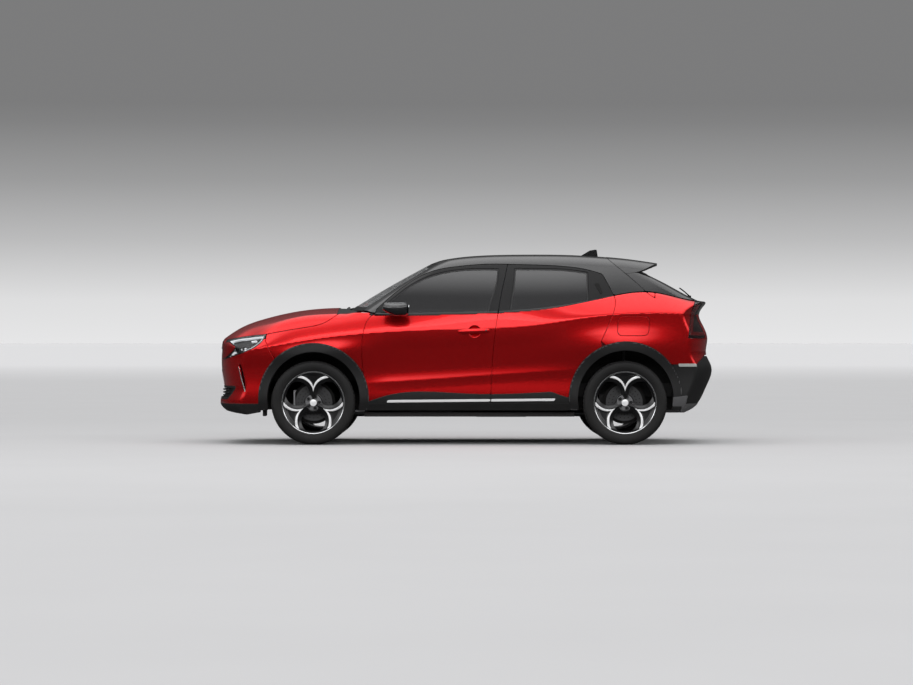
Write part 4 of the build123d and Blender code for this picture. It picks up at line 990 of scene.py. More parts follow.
# headlamps: dark housing, daylight blades along the top and at the lower front, lenses, clear cover
panel("lampHousing", lowerGrid, lampArea, "trim", "body", lift=-0.030, depth=0.008, edge=0)
panel("lampRim", lowerGrid, less(lampArea, shrunk(lampArea, 0.009)), "black", "body", lift=-0.001,
      depth=0.028, edge=0.001)
bladeZone = outline([(-2.1, 0.83), (-1.95, 0.838), (-1.80, 0.850), (-1.770, 0.835), (-1.815, 0.790),
                     (-1.835, 0.765), (-1.80, 0.735), (-1.60, 0.85), (-1.64, 0.95), (-2.1, 0.90)])
topBlade = both(less(shrunk(lampArea, 0.009), shrunk(lampArea, 0.017)), bladeZone)
lowBlade = outline([[(-1.905, 0.752), (-1.962, 0.710), (-2.03, 0.682)],
                    [(-2.03, 0.689), (-1.968, 0.716), (-1.917, 0.764)]])
innerBar = outline([(-1.770, 0.856), (-1.724, 0.861), (-1.726, 0.855), (-1.768, 0.850)], radius=0.002)
for name, zone in (("topBlade", topBlade), ("lowBlade", lowBlade), ("innerBar", innerBar)):
    panel(name, sidePatch, both(zone, shrunk(lampArea, 0.006)), "glow", "body", lift=-0.008, depth=0.016,
          edge=0.0015)
for index, (x, z, size) in enumerate(((-1.822, 0.803, 0.021), (-1.862, 0.782, 0.016))):
    (spot,) = onSide([(x, z)], -0.024)
    ball = lathe([(0.0004, -0.012)]
                 + [(size * math.sin(a), -0.012 * math.cos(a)) for a in np.linspace(0.2, 1.57, 6)]
                 + [(size, 0.008), (0.0004, 0.008)], spot, 28)
    pair(f"lampLens_{index}", ball, "lens", "body")
    ring = lathe([(size, -0.002), (size + 0.004, -0.004), (size + 0.006, 0.006), (size, 0.010)], spot, 28)
    pair(f"lampBezel_{index}", ring, "satin", "body")
    # a small disc with the glowing finish in each lens: a painted glint
    paintedGlint = lathe([(0.0003, 0.002), (size * 0.45, 0.002), (size * 0.45, 0.006), (0.0003, 0.006)], spot, 20)
    pair(f"lampSource_{index}", paintedGlint, "glow", "body")
panel("lampCover", lowerGrid, shrunk(lampArea, 0.002), "lens", "body", lift=-0.001, depth=0.003, edge=0,
      replaces=["headlamps"])


# repeated details: one element, copied along a row or round a ring
def repeatGroup(name, around):
    group = bpy.data.node_groups.new(name, "GeometryNodeTree")
    for label, kind in (("Element", "Geometry"), ("Count", "Int"), ("Step", "Vector"),
                        ("Finish", "Material")):
        group.interface.new_socket(label, in_out="INPUT", socket_type="NodeSocket" + kind)
    group.interface.new_socket("Geometry", in_out="OUTPUT", socket_type="NodeSocketGeometry")
    start, end = group.nodes.new("NodeGroupInput"), group.nodes.new("NodeGroupOutput")
    line = group.nodes.new("GeometryNodeMeshLine")
    copies = group.nodes.new("GeometryNodeInstanceOnPoints")
    real = group.nodes.new("GeometryNodeRealizeInstances")
    paint = group.nodes.new("GeometryNodeSetMaterial")
    link = group.links.new
    link(start.outputs["Count"], line.inputs["Count"])
    link(line.outputs[0], copies.inputs["Points"])
    link(start.outputs["Element"], copies.inputs["Instance"])
    if around:                          # Step is the turn about each axis from one copy to the next
        line.inputs["Offset"].default_value = (0, 0, 0)
        number = group.nodes.new("GeometryNodeInputIndex")
        turn = group.nodes.new("ShaderNodeVectorMath")
        turn.operation = "SCALE"
        link(start.outputs["Step"], turn.inputs[0])
        link(number.outputs[0], turn.inputs["Scale"])
        link(turn.outputs[0], copies.inputs["Rotation"])
    else:
        link(start.outputs["Step"], line.inputs["Offset"])
    link(copies.outputs[0], real.inputs[0])
    link(real.outputs[0], paint.inputs[0])
    link(start.outputs["Finish"], paint.inputs["Material"])
    link(paint.outputs[0], end.inputs[0])
    return group


repeats = {"row": repeatGroup("repeatInRow", False), "ring": repeatGroup("repeatRoundRing", True)}


def repeated(part, kind, count, step, material):  # the copies as one plain mesh's points and faces
    p, n, faces = part
    mesh = bpy.data.meshes.new("element")
    mesh.from_pydata(p.tolist(), [], faces.tolist())
    piece = bpy.data.objects.new("element", mesh)
    scene.collection.objects.link(piece)
    layer = piece.modifiers.new("repeat", "NODES")
    layer.node_group = repeats[kind]
    sockets = {s.name: s.identifier for s in repeats[kind].interface.items_tree if s.in_out == "INPUT"}
    layer[sockets["Count"]] = count
    layer[sockets["Step"]] = step
    layer[sockets["Finish"]] = finish[material]
    plain = bpy.data.meshes.new_from_object(piece.evaluated_get(bpy.context.evaluated_depsgraph_get()))
    points = np.array([v.co for v in plain.vertices], float)
    plain.calc_loop_triangles()
    faces = np.array([t.vertices for t in plain.loop_triangles])
    bpy.data.objects.remove(piece)
    bpy.data.meshes.remove(mesh)
    bpy.data.meshes.remove(plain)
    return points, None, faces


noseX = lambda z: float(curves["nose"](z))
nosePatch = patch(bodyField, (-0.72, 0.0), (0.34, 0.84), -1.7, (-1, 0, 0), 0.008)
panel("grilleBack", nosePatch, both(shrunk(grilleShape, -0.01), atNose), "liner", "body", lift=-0.034,
      depth=0.006, edge=0)
panel("intakeBack", nosePatch, both(shrunk(intakeShape, -0.01), atNose), "liner", "body", lift=-0.018,
      depth=0.006, edge=0)
panel("grilleFrame", nosePatch, both(less(shrunk(grilleShape, -0.004), shrunk(grilleShape, 0.012)), atNose),
      "black", "body", lift=0.001, depth=0.04, edge=0.003)
panel("intakeFrame", nosePatch, both(less(shrunk(intakeShape, -0.004), shrunk(intakeShape, 0.010)), atNose),
      "cladding", "body", lift=0.001, depth=0.025, edge=0.003)


def slat(half, z, deep, tall=0.008):              # one curved bar across the nose
    across = np.linspace(-half, half, 25)
    path = np.stack([noseX(z) + noseSweep(across) + deep, across, 0 * across + z], 1)
    return tube(path, tall, 8, squash=0.8)


grilleBars = repeated(slat(0.335, 0.632, 0.028), "row", 5, (-0.004, 0, 0.034), "bright")
meshObject("grilleBars", grilleBars, "trim", "body", ["front_grille"])
intakeBars = repeated(slat(0.60, 0.400, 0.012, 0.006), "row", 3, (0.0, 0, 0.024), "trim")
meshObject("intakeBars", intakeBars, "cladding", "body")
plateOutline = lambda low, high, half: both(within(2, low, high), sideIn(half))
panel("frontPlate", nosePatch, both(plateOutline(0.492, 0.588, 0.26), atNose), "plate", "body", lift=0.004,
      depth=0.005, edge=0.0015)
print("front end done")

# cladding round the arches and along the sill
rearRing = both(disc(*car["rearArch"][:2], car["rearArch"][3] - 0.001), within(2, 0.284, 2))
for where, ring, inner in (("front", frontRing, disc(*car["frontArch"][:3])),
                           ("rear", rearRing, disc(*car["rearArch"][:3]))):
    area = less(ring, inner)
    panel(f"archRing_{where}", lowerGrid, shrunk(area, 0.001), "cladding", "body", lift=0.005, depth=0.045,
          edge=0.004, replaces=["arch_and_sill_cladding"] if where == "front" else None)
    # a thin lighter grey band round the outer edge of each arch: a painted highlight along the cladding's lip
    outer = less(shrunk(ring, 0.001), lambda p, r=ring: r(p) + 0.0075)
    panel(f"archLip_{where}", lowerGrid, both(outer, less(within(2, 0.29, 2), inner)), "lip", "body",
          lift=0.0075, depth=0.003, edge=0.001)
panel("sillSkin", lowerGrid,
      both(within(2, 0.284, 0.3385), within(0, -0.87, 0.95), less(within(0, -2, 2), frontHole, rearHole)),
      "cladding", "body", lift=0.004, depth=0.03, edge=0.004)

# inner wall and roof of each wheel well, so that nothing is seen through an arch
for where, spot, wall in (("front", car["frontArch"], -0.445), ("rear", car["rearArch"], -0.560)):
    x, z, radius = spot[0], spot[1], 0.412
    angles = np.radians(np.linspace(-14, 194, 60))
    rim = [(x + radius * math.cos(a), z + radius * math.sin(a)) for a in angles]
    wallPart = slab(rim, 1, wall, wall + 0.004, 0)
    drumPart = skin([[(x + r * math.cos(a), y, z + r * math.sin(a)) for r,
                      y in ((radius, wall), (radius, -0.80), (radius + 0.004, -0.80),
                            (radius + 0.004, wall))] for a in angles])
    well = joined(wallPart, drumPart)
    meshObject(f"wellLiner_{where}", joined(well, mirrored(*well)), "liner", "body")
flapBoard = softBox((-1.672, -0.76, 0.232), (-1.646, -0.56, 0.300), 0.004)
meshObject("airFlaps", joined(flapBoard, mirrored(*flapBoard)), "liner", "body")

# rear end: quarters, tailgate, bumper, lamps
gateShape = both(tailgateRear, atTail)
gateTop = both(tailgateSide, within(0, 1.1, 1.56))
panel("quarterSkins", lowerGrid,
      both(shrunk(less(quarterShape, rearHole, rearLampSide, gateShape, gateTop, flapShape), gap),
           outsideCabin),
      "red", "body", replaces=["side_frame_left", "side_frame_right"])
panel("tailgateShoulder", lowerGrid, both(shrunk(both(quarterShape, gateTop), gap), outsideCabin), "red",
      "tailgate", depth=0.012)
flapGrid = patch(bodyField, (1.22, 1.53), (0.87, 1.08), -0.4, (0, -1, 0), 0.006)
flapPart = shell(*cutPiece(flapGrid, shrunk(flapShape, gap)), 0.012, 0.002)
meshObject("flapSkin", flapPart, "red", "filler_flap", ["filler_flap"])
cup = shell(*cutPiece(flapGrid, shrunk(flapShape, -0.003), -0.016), 0.004, 0)
meshObject("flapSeat", joined(cup, mirrored(*cup)), "under", "body")
blank = shell(*cutPiece(flapGrid, shrunk(flapShape, -0.003)), 0.012, 0)
meshObject("flapBlank", mirrored(*blank), "red", "body")
lowGate = both(gateShape, within(2, 0.735, 1.072))
panel("tailgateSkin", lowerGrid, shrunk(lowGate, gap), "red", "tailgate", depth=0.03,
      replaces=["tailgate"])
panel("tailgateBand", lowerGrid, shrunk(both(gateShape, within(2, 1.070, 1.3)), gap), "black", "tailgate",
      lift=0.0015, depth=0.03, edge=0.002)
glassPlan = outline([(1.520, 0.56), [(1.930, 0.596), (1.955, 0.3), (1.962, 0.0)], (1.962, -0.2),
                     (1.510, -0.2)],
                    axes=(0, 1), radius=0.03)
evened = lambda field: (lambda p: field(np.concatenate([p[..., :1], np.abs(p[..., 1:2]), p[..., 2:]], -1)))
upperGate = both(tailgateSide, aboveBody, within(0, 1.15, 1.975))
panel("tailgateFrame", cabinGrid, shrunk(less(upperGate, evened(glassPlan)), gap), "black", "tailgate",
      depth=0.03, edge=0.003)
panel("rearGlassPane", cabinGrid, both(evened(glassPlan), upperGate, aboveBody), "dark", "tailgate",
      depth=0.005, lift=-0.004, edge=0, replaces=["rear_glass"])
spoiler = outline([(1.188, 1.70), (1.188, 1.527),
                   [(1.326, 1.409), (1.464, 1.439), (1.554, 1.483), (1.600, 1.500)], (1.600, 1.70)])
panel("spoilerSkin", roofGrid, spoiler, "black", "tailgate", lift=0.0015, depth=0.022, edge=0.004)
brakeLight = softBox((1.585, -0.16, 1.482), (1.6035, 0.16, 1.497), 0.002)
meshObject("brakeLight", brakeLight, "lampRed", "tailgate")
panel("rearBumperSkin", lowerGrid, shrunk(less(rearBumperShape, rearHole, within(2, -1, 0.318)), gap),
      "cladding", "body", replaces=["rear_bumper"])
tailPatch = patch(bodyField, (1.66, 2.02), (0.28, 1.22), -0.2, (0, -1, 0), 0.0045)
lowPanel = outline([(1.705, 0.388), (1.820, 0.400), (1.800, 0.318), (1.700, 0.318)], radius=0.006)
diffuser = both(rearBumperShape, within(2, 0.262, 0.335), less(within(0, -3, 3), rearHole))
panel("rearDiffuser", lowerGrid, shrunk(diffuser, gap), "satin", "body", lift=0.004, depth=0.02, edge=0.004)
panel("rearCornerPanel", tailPatch, lowPanel, "satin", "body", lift=0.006, depth=0.01, edge=0.003)
reflector = outline([(1.746, 0.664), (1.892, 0.664), (1.899, 0.642), (1.752, 0.642)], radius=0.006)
panel("rearReflector", tailPatch, reflector, "haze", "body", lift=0.004, depth=0.008, edge=0.0015)
lampBase = both(rearLampSide, atTail,
                less(within(2, 0.86, 1.178), shrunk(gateShape, -gap), shrunk(gateTop, -gap)))
panel("tailLampBase", lowerGrid, shrunk(lampBase, gap), "trim", "body", lift=-0.012, depth=0.03, edge=0.001)
panel("tailLampCover", lowerGrid, shrunk(lampBase, gap * 0.8), "smoke", "body", lift=0.0,
      depth=0.003, edge=0.0015, replaces=["tail_lamps"])
redStrip = outline([[(1.846, 0.900), (1.857, 1.02), (1.871, 1.09), (1.906, 1.148)], (2.1, 1.148),
                    (2.1, 1.118), [(1.930, 1.118), (1.896, 1.07), (1.880, 1.01), (1.869, 0.926)],
                    (2.1, 0.926), (2.1, 0.898)],
                   radius=0.004)
panel("tailLampStrip", lowerGrid, both(redStrip, shrunk(lampBase, 0.008)), "lampRed", "body", lift=-0.0025,
      depth=0.008, edge=0.002)
tailEnd = patch(bodyField, (-0.72, 0.0), (0.30, 0.72), 1.7, (1, 0, 0), 0.008)
panel("plateSurround", tailEnd, both(plateOutline(0.508, 0.632, 0.275), atTail), "trim", "body", lift=0.001,
      depth=0.012, edge=0.002)
panel("rearPlate", tailEnd, both(plateOutline(0.522, 0.618, 0.26), atTail), "plate", "body", lift=0.0035,
      depth=0.006, edge=0.0015)
print("rear end done")

# roof, pillars and windscreen
screenPlan = outline([[(-0.300, -0.2), (-0.300, 0.0), (-0.288, 0.3), (-0.232, 0.540)],
                      [(-0.232, 0.540), (-0.50, 0.598), (-0.875, 0.688)],
                      [(-0.875, 0.688), (-0.95, 0.60), (-1.02, 0.30), (-1.045, 0.0), (-1.045, -0.2)]],
                     axes=(0, 1), radius=0.02)
screenArea = both(evened(screenPlan), aboveBody)
panel("windscreenPane", cabinGrid, shrunk(screenArea, 0.001), "clear", "body", depth=0.005,
      lift=-0.003, edge=0, replaces=["windscreen"])
panel("windscreenFrit", cabinGrid, less(screenArea, shrunk(screenArea, 0.028)), "trim", "body", lift=-0.0025,
      depth=0.007, edge=0)
roofArea = less(within(0, -0.42, 1.19), evened(screenPlan), tailgateSide)
panel("roofSkin", cabinGrid, both(shrunk(roofArea, gap), sideIn(0.512)), "black", "body",
      replaces=["roof_panel"])
panel("roofDitch", cabinGrid, both(roofArea, lambda p: np.abs(np.abs(p[..., 1]) - 0.516) - 0.010), "trim",
      "body", lift=-0.006, depth=0.008, edge=0)
panel("cabinSides", cabinGrid, both(less(within(0, -1.1, 1.7), frontDoor, rearDoor, tailgateSide, gap=gap),
                                    less(aboveBody, shrunk(evened(screenPlan), -gap)), sideOut(0.520)),
      "black", "body")
cowlArea = both(within(0, -1.065, -0.90), sideIn(0.74))
panel("cowlTop", bonnetGrid, cowlArea, "cladding", "body", lift=-0.006, depth=0.02, edge=0.002,
      replaces=["cowl_panel"])
for index, (y, span) in enumerate(((-0.42, 0.60), (0.18, 0.52))):
    across = y + span * np.linspace(0, 1, 14)
    along = -0.985 + 0.16 * (np.abs(across) / 0.7) ** 2.4
    p, n = cast(cabinField, np.stack([along, across, 0 * along + 0.95], 1), np.tile([0, 0, 1.0], (14, 1)), 1)
    meshObject(f"wiperBlade_{index}", tube(p + n * 0.012, 0.007, 10, 0.7), "trim", "body")
    arm = arc([p[0] + n[0] * 0.004 + (-0.03, 0.02, -0.005), p[2] + n[2] * 0.02, p[7] + n[7] * 0.022], 0.02)
    meshObject(f"wiperArm_{index}", tube(arm, 0.0065, 8, 0.6), "cladding", "body")
rearArm = tube(arc([(1.900, 0.02, 1.232), (1.860, -0.05, 1.262), (1.800, -0.22, 1.296)], 0.02), 0.007, 8, 0.6)
rearPivot = lathe([(0.0005, -0.01), (0.016, -0.01), (0.016, 0.012), (0.0005, 0.012)], (1.898, 0.02, 1.225),
                  24, 2)
meshObject("rearWiper", joined(rearArm, rearPivot), "trim", "tailgate")


# door mirrors: rounded housing on an arm, with a bright upper edge and the mirror at the back
def roundedRing(x, z, width, height, power, y, slant=0.0):
    turn = np.linspace(0, 2 * math.pi, 48, endpoint=False)
    c, s = np.cos(turn), np.sin(turn)
    u = np.sign(c) * np.abs(c) ** (2 / power)
    v = np.sign(s) * np.abs(s) ** (2 / power)
    low = np.clip(-v, 0, 1) * np.clip(-u, 0, 1)
    return np.stack([x + u * width / 2 + slant * low * width, 0 * u + y,
                     z + v * height / 2 + slant * low * height], 1)


mirrorRings = [(-0.566, 1.100, 0.10, 0.045, 3, -0.862), (-0.570, 1.104, 0.155, 0.075, 4, -0.874, 0.1),
               (-0.5745, 1.108, 0.196, 0.092, 5, -0.895, 0.16),
               (-0.5745, 1.1085, 0.214, 0.101, 5.5, -0.94, 0.2),
               (-0.5745, 1.1085, 0.214, 0.100, 5.5, -0.99, 0.2),
               (-0.577, 1.109, 0.196, 0.088, 5, -1.022, 0.2),
               (-0.580, 1.110, 0.15, 0.064, 4, -1.036, 0.2), (-0.583, 1.110, 0.06, 0.025, 3, -1.0395, 0.2)]
pair("mirrorShell", skin([roundedRing(*ring) for ring in mirrorRings]), "black", frontBodies)
stalkRings = [(-0.585, 1.092, 0.100, 0.035, 3, -0.838), (-0.583, 1.094, 0.09, 0.034, 3, -0.853),
              (-0.578, 1.098, 0.085, 0.036, 3, -0.880)]
stalk = skin([roundedRing(*ring) for ring in stalkRings])
for piece, side in zip(pair("mirrorStalk", stalk, "trim", frontBodies), ("left", "right")):
    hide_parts(f"door_mirror_{side}")
pair("mirrorSeam", tube([(-0.664, -1.0, 1.1585), (-0.60, -1.002, 1.1605), (-0.52, -1.002, 1.1605),
                         (-0.487, -1.0, 1.158)], 0.0022, 8), "bright", frontBodies)
back = roundedRing(0, 1.109, 0.112, 0.078, 5, 0)[:, [1, 0, 2]] + [-0.4665, -0.965, 0]
pair("mirrorGlass", skin([back, back + (0.003, 0, 0)]), "mirror", frontBodies)
corner = outline([(-0.700, 1.086), (-0.640, 1.158), (-0.575, 1.150), (-0.560, 1.088)], radius=0.01)
panel("mirrorBase", sideGlassGrid, both(corner, aboveBody, shrunk(frontDoor, gap)), "trim", frontBodies,
      lift=0.003, depth=0.012, edge=0.002)
print("roof and mirrors done")

# wheels
wheel = {"lobes": (30, 150, 270), "lobeAt": 0.150, "lobe": 0.130, "window": 0.100, "windowOut": 0.236,
         "windowIn": 0.074, "outer": 0.2505, "cap": 0.028, "face": 0.080}


def lobeField(x, z):                    # distance to the nearest of the three round dishes; below 0 inside
    spots = [(wheel["lobeAt"] * math.cos(math.radians(a)), wheel["lobeAt"] * math.sin(math.radians(a)))
             for a in wheel["lobes"]]
    return np.min([np.hypot(x - a, z - b) for a, b in spots], 0)


def faceHeight(x, z):                   # how far the wheel's face stands out from its centre plane
    r = np.hypot(x, z)
    lobe = lobeField(x, z) - wheel["lobe"]
    flat = wheel["face"] + 0.014 * ease(r, 0.09, 0.25) - 0.006 * (1 - ease(r, 0.03, 0.07))
    dish = 0.010 * ease(-lobe, 0.0, 0.006) + 0.012 * ease(-lobe, 0.006, 0.035)
    pocket = 0.012 * ease(lobe, 0.013, 0.022) * ease(r, 0.105, 0.125) * (1 - ease(r, 0.222, 0.238))
    rim = 0.004 * ease(r, 0.238, 0.246)
    return flat - dish * (1 - ease(r, 0.236, 0.246)) - pocket + rim


wheelField = lambda p: -p[..., 1] - faceHeight(p[..., 0], p[..., 2])
reach = np.concatenate([np.linspace(0.004, 0.06, 12), np.arange(0.0635, 0.2515, 0.0033)])
turns = np.radians(np.arange(0, 361, 2.0))
rr, tt = np.meshgrid(reach, turns, indexing="ij")
wheelFlat = np.stack([rr * np.cos(tt), 0 * rr, rr * np.sin(tt)], -1).reshape(-1, 3)
wheelFlat[:, 1] = -faceHeight(wheelFlat[:, 0], wheelFlat[:, 2])
i, j = (k.ravel() for k in np.meshgrid(np.arange(len(reach) - 1), np.arange(len(turns) - 1), indexing="ij"))
wide = len(turns) - 1
gridIndex = lambda a, b: a * wide + b % wide
wheelPoints = wheelFlat.reshape(*rr.shape, 3)[:, :-1].reshape(-1, 3)
near0, near1, far1, far0 = gridIndex(i, j), gridIndex(i, j + 1), gridIndex(i + 1, j + 1), gridIndex(i + 1, j)
wheelFaces = np.concatenate([np.stack([near0, near1, far1], 1), np.stack([near0, far1, far0], 1)])
wheelGrid = (wheelField, wheelPoints, slopeOf(wheelField, wheelPoints, 5e-4), wheelFaces)
radiusOf = lambda p: np.hypot(p[..., 0], p[..., 2])
windowAt = lambda p: np.maximum(lobeField(p[..., 0], p[..., 2]) - wheel["window"],
                                np.maximum(radiusOf(p) - wheel["windowOut"], wheel["windowIn"] - radiusOf(p)))
hubHole = lambda p: 0.012 - radiusOf(p)
casting = shell(*cutPiece(wheelGrid, both(less(lambda p: radiusOf(p) - wheel["outer"], windowAt), hubHole)),
                0.020, 0.004)
lobeEdge = lambda p: lobeField(p[..., 0], p[..., 2]) - wheel["lobe"]
bladeWidth = lambda p: 0.008 + 0.011 * ease(radiusOf(p), 0.075, 0.245)
blades = shell(*cutPiece(wheelGrid,
                         both(lambda p: 0.0015 - lobeEdge(p), lambda p: lobeEdge(p) - bladeWidth(p),
                              lambda p: radiusOf(p) - 0.2435, lambda p: 0.060 - radiusOf(p)), 0.0018),
               0.004, 0.001)
rimRing = lathe([(0.2485, -0.085), (0.2495, -0.0985), (0.253, -0.1015), (0.259, -0.1015), (0.2625, -0.098),
                 (0.2625, -0.092), (0.2575, -0.085)], (0, 0, 0), 144)
barrel = lathe([(0.2580, -0.092), (0.2575, 0.085), (0.2620, 0.094), (0.2620, 0.098), (0.2560, 0.098),
                (0.2400, 0.085),
                (0.2380, 0.020), (0.2380, -0.045), (0.2440, -0.075), (0.2485, -0.090)], (0, 0, 0), 144)
hub = lathe([(0.0005, 0.042), (0.076, 0.042), (0.076, -0.050), (0.060, -0.066), (0.0005, -0.066)],
            (0, 0, 0), 72)
discPair = joined(lathe([(0.070, 0.042), (0.152, 0.042), (0.152, 0.050), (0.070, 0.050)], (0, 0, 0), 96),
                  lathe([(0.070, 0.056), (0.152, 0.056), (0.152, 0.064), (0.070, 0.064)], (0, 0, 0), 96))
vane = softBox((0.080, 0.0495, -0.002), (0.149, 0.0565, 0.002), 0.0005, 1)
hole = lathe([(0.0004, -0.0007), (0.0042, -0.0007), (0.0042, 0.001), (0.0004, 0.001)], (0.1, 0.042, 0), 12)
cap = lathe([(0.0004, -0.0785), (0.020, -0.0785), (0.0275, -0.0765), (0.0285, -0.073), (0.0285, -0.066),
             (0.0004, -0.066)],
            (0, 0, 0), 48)
nut = lathe([(0.0004, -0.0735), (0.0075, -0.0735), (0.0095, -0.0715), (0.0095, -0.060), (0.0004, -0.060)],
            (0.049, 0, 0.0), 6)
seat = lathe([(0.0108, -0.0716), (0.0150, -0.0745), (0.0156, -0.0735), (0.0156, -0.066), (0.0108, -0.066)],
             (0.049, 0, 0.0), 24)
valve = tube([(0.232, -0.040, 0.0), (0.226, -0.066, 0.0)], 0.0035, 10)
tyreSide = [(0.2585, 0.098), (0.2610, 0.1035), (0.2680, 0.1075), (0.2760, 0.1085), (0.2800, 0.1105),
            (0.3000, 0.1117),
            (0.3150, 0.1105), (0.3240, 0.1075), (0.3300, 0.1045), (0.3350, 0.0995), (0.3375, 0.0935)]
tyreBody = lathe(tyreSide + [(0.3378, 0.080), (0.3378, 0), (0.3378, -0.080)]
                 + [(r, -y) for r, y in tyreSide[::-1]]
                 + [(0.264, -0.090), (0.322, -0.095), (0.326, 0.0), (0.322, 0.095), (0.264, 0.090)],
                 (0, 0, 0), 144)


def treadBlock(low, high, skew):        # one block of the tread at the top of the tyre
    p, _, faces = softBox((-0.0150, low, 0.3340), (0.0150, high, 0.3438), 0.0016, 1)
    p[:, 0] += skew * (p[:, 1] - (low + high) / 2)
    return p, None, faces


element = joined(treadBlock(-0.0905, -0.0640, 0.35), treadBlock(-0.0560, -0.0240, -0.45),
                 treadBlock(-0.0160, 0.0160, 0.0),
                 treadBlock(0.0240, 0.0560, 0.45), treadBlock(0.0640, 0.0905, -0.35))
# shoulder bars carry the outer blocks down the side
shoulderBars = []
for side in (-1, 1):
    p, _, faces = softBox((-0.0135, 0, 0), (0.0135, 0.0055, 0.022), 0.0012, 1)
    lean = math.radians(48)
    y = 0.0895 + p[:, 1] * math.cos(lean) + (0.022 - p[:, 2]) * math.sin(lean) * 0.78
    z = 0.3365 + p[:, 1] * math.sin(lean) - (0.022 - p[:, 2]) * math.cos(lean) * 0.95
    shoulderBars.append((np.stack([p[:, 0], side * y, z], 1), None, faces))
element = joined(element, *shoulderBars)
tread = repeated(element, "ring", 58, (0, 2 * math.pi / 58, 0), "rubber")
bead = softBox((-0.0012, 0.1075, 0.2690), (0.0012, 0.1100, 0.2775), 0.0004, 1)
beads = repeated(joined(bead, mirrored(*bead)), "ring", 90, (0, 2 * math.pi / 90, 0), "rubber")
vanes = repeated(vane, "ring", 36, (0, 2 * math.pi / 36, 0), "steel")
holes = repeated(joined(hole, (hole[0] + (0.028, 0, 0), None, hole[2])), "ring", 24,
                 (0, 2 * math.pi / 24, 0), "trim")
nuts = repeated(nut, "ring", 5, (0, 2 * math.pi / 5, 0), "steel")
nutSeats = repeated(seat, "ring", 5, (0, 2 * math.pi / 5, 0), "rim")
wheelParts = (("Rim", joined(casting, nutSeats), "rim"), ("Blades", blades, "silver"),
              ("Lip", rimRing, "bright"),
              ("Barrel", joined(barrel, hub), "barrel"), ("Disc", joined(discPair, vanes), "disc"),
              ("Holes", holes, "trim"),
              ("Cap", cap, "silver"), ("Nuts", nuts, "rim"), ("Valve", valve, "trim"),
              ("Tyre", tyreBody, "rubber"), ("Tread", joined(tread, beads), "rubber"))
for end, axle in (("front", car["frontAxle"]), ("rear", car["rearAxle"])):
    for side, sign in (("left", 1), ("right", -1)):
        place = f"{end}_{side}"
        for label, part, material in wheelParts:
            p, n, faces = part
            flip = np.array([1, sign, 1])
            p = p * flip + (axle, -sign * car["hubSide"], car["hubHeight"])
            n = None if n is None else n * flip
            stands = {"Rim": [f"wheel_{place}"], "Tyre": [f"tyre_{place}"]}.get(label, ())
            meshObject(f"wheel{label}_{place}", (p, n, faces if sign > 0 else faces[:, ::-1]), material,
                       f"wheel_{place}", stands)
shield = lathe([(0.045, -0.0045), (0.176, -0.0045), (0.176, 0.000), (0.170, -0.0015), (0.045, -0.0015)],
               (0, 0, 0), 64)
coil = np.linspace(0, 2 * math.pi * 5, 150)
spring = tube(np.stack([0.055 * np.cos(coil), 0.055 * np.sin(coil), coil / (10 * math.pi) * 0.22], 1),
              0.006, 8)
for end, axle in (("front", car["frontAxle"]), ("rear", car["rearAxle"])):
    for side, sign in (("left", -1), ("right", 1)):
        carrier = f"front_knuckle_{side}" if end == "front" else "body"
        spot = (axle, sign * 0.693, car["hubHeight"])
        meshObject(f"splashShield_{end}_{side}", (shield[0] + spot, None, shield[2]), "liner", carrier)
        coilSpot = (axle + (0.0 if end == "front" else -0.15), sign * 0.53, 0.45)
        meshObject(f"spring_{end}_{side}", (spring[0] + coilSpot, None, spring[2]), "liner", "body")
print("wheels done")

# door apertures, trims and roof lining behind the panels
ringShape = outline([(-0.905, 0.288), (-0.905, 1.04), (1.258, 1.19), (1.258, 0.288)])
frontOpening = outline([[(0.165, 0.392), (0.185, 0.760), (0.210, 0.960), (0.240, 1.150)], (0.240, 1.4),
                        (-0.690, 1.4), [(-0.690, 1.060), (-0.752, 1.020), (-0.800, 0.940), (-0.812, 0.700),
                                        (-0.798, 0.392)]], grow=0.012)
rearOpening = outline([[(0.262, 0.392), (0.262, 0.760), (0.278, 0.960), (0.300, 1.150)], (0.300, 1.4),
                       [(1.150, 1.4), (1.186, 1.120), (1.150, 1.000), (1.100, 0.880)], (1.100, 0.392)],
                      grow=0.012)
wellCut = less(ringShape, disc(*car["frontArch"][:2], 0.412), disc(*car["rearArch"][:2], 0.412),
               frontOpening, rearOpening)
panel("doorAperture", lowerGrid,
      both(wellCut, lambda p: p[..., 2] - curves["upperHeight"](p[..., 0]) + 0.02), "inside", "body",
      lift=-0.047, depth=0.05, edge=0.003)
pillarInside = both(less(within(0, -0.95, 1.55), shrunk(frontWindow, -0.012), shrunk(rearWindow, -0.012),
                         tailgateSide),
                    aboveBody, sideOut(0.48), less(within(0, -2, 2), evened(screenPlan)))
panel("pillarTrims", cabinGrid, pillarInside, "lining", "body", lift=-0.034, depth=0.018, edge=0.003)
panel("roofLining", thinned(cabinGrid), both(within(0, -0.36, 1.20), sideIn(0.50),
                                             less(within(0, -2, 2), evened(screenPlan))), "lining", "body",
      lift=-0.040, depth=0.012, edge=0.004)

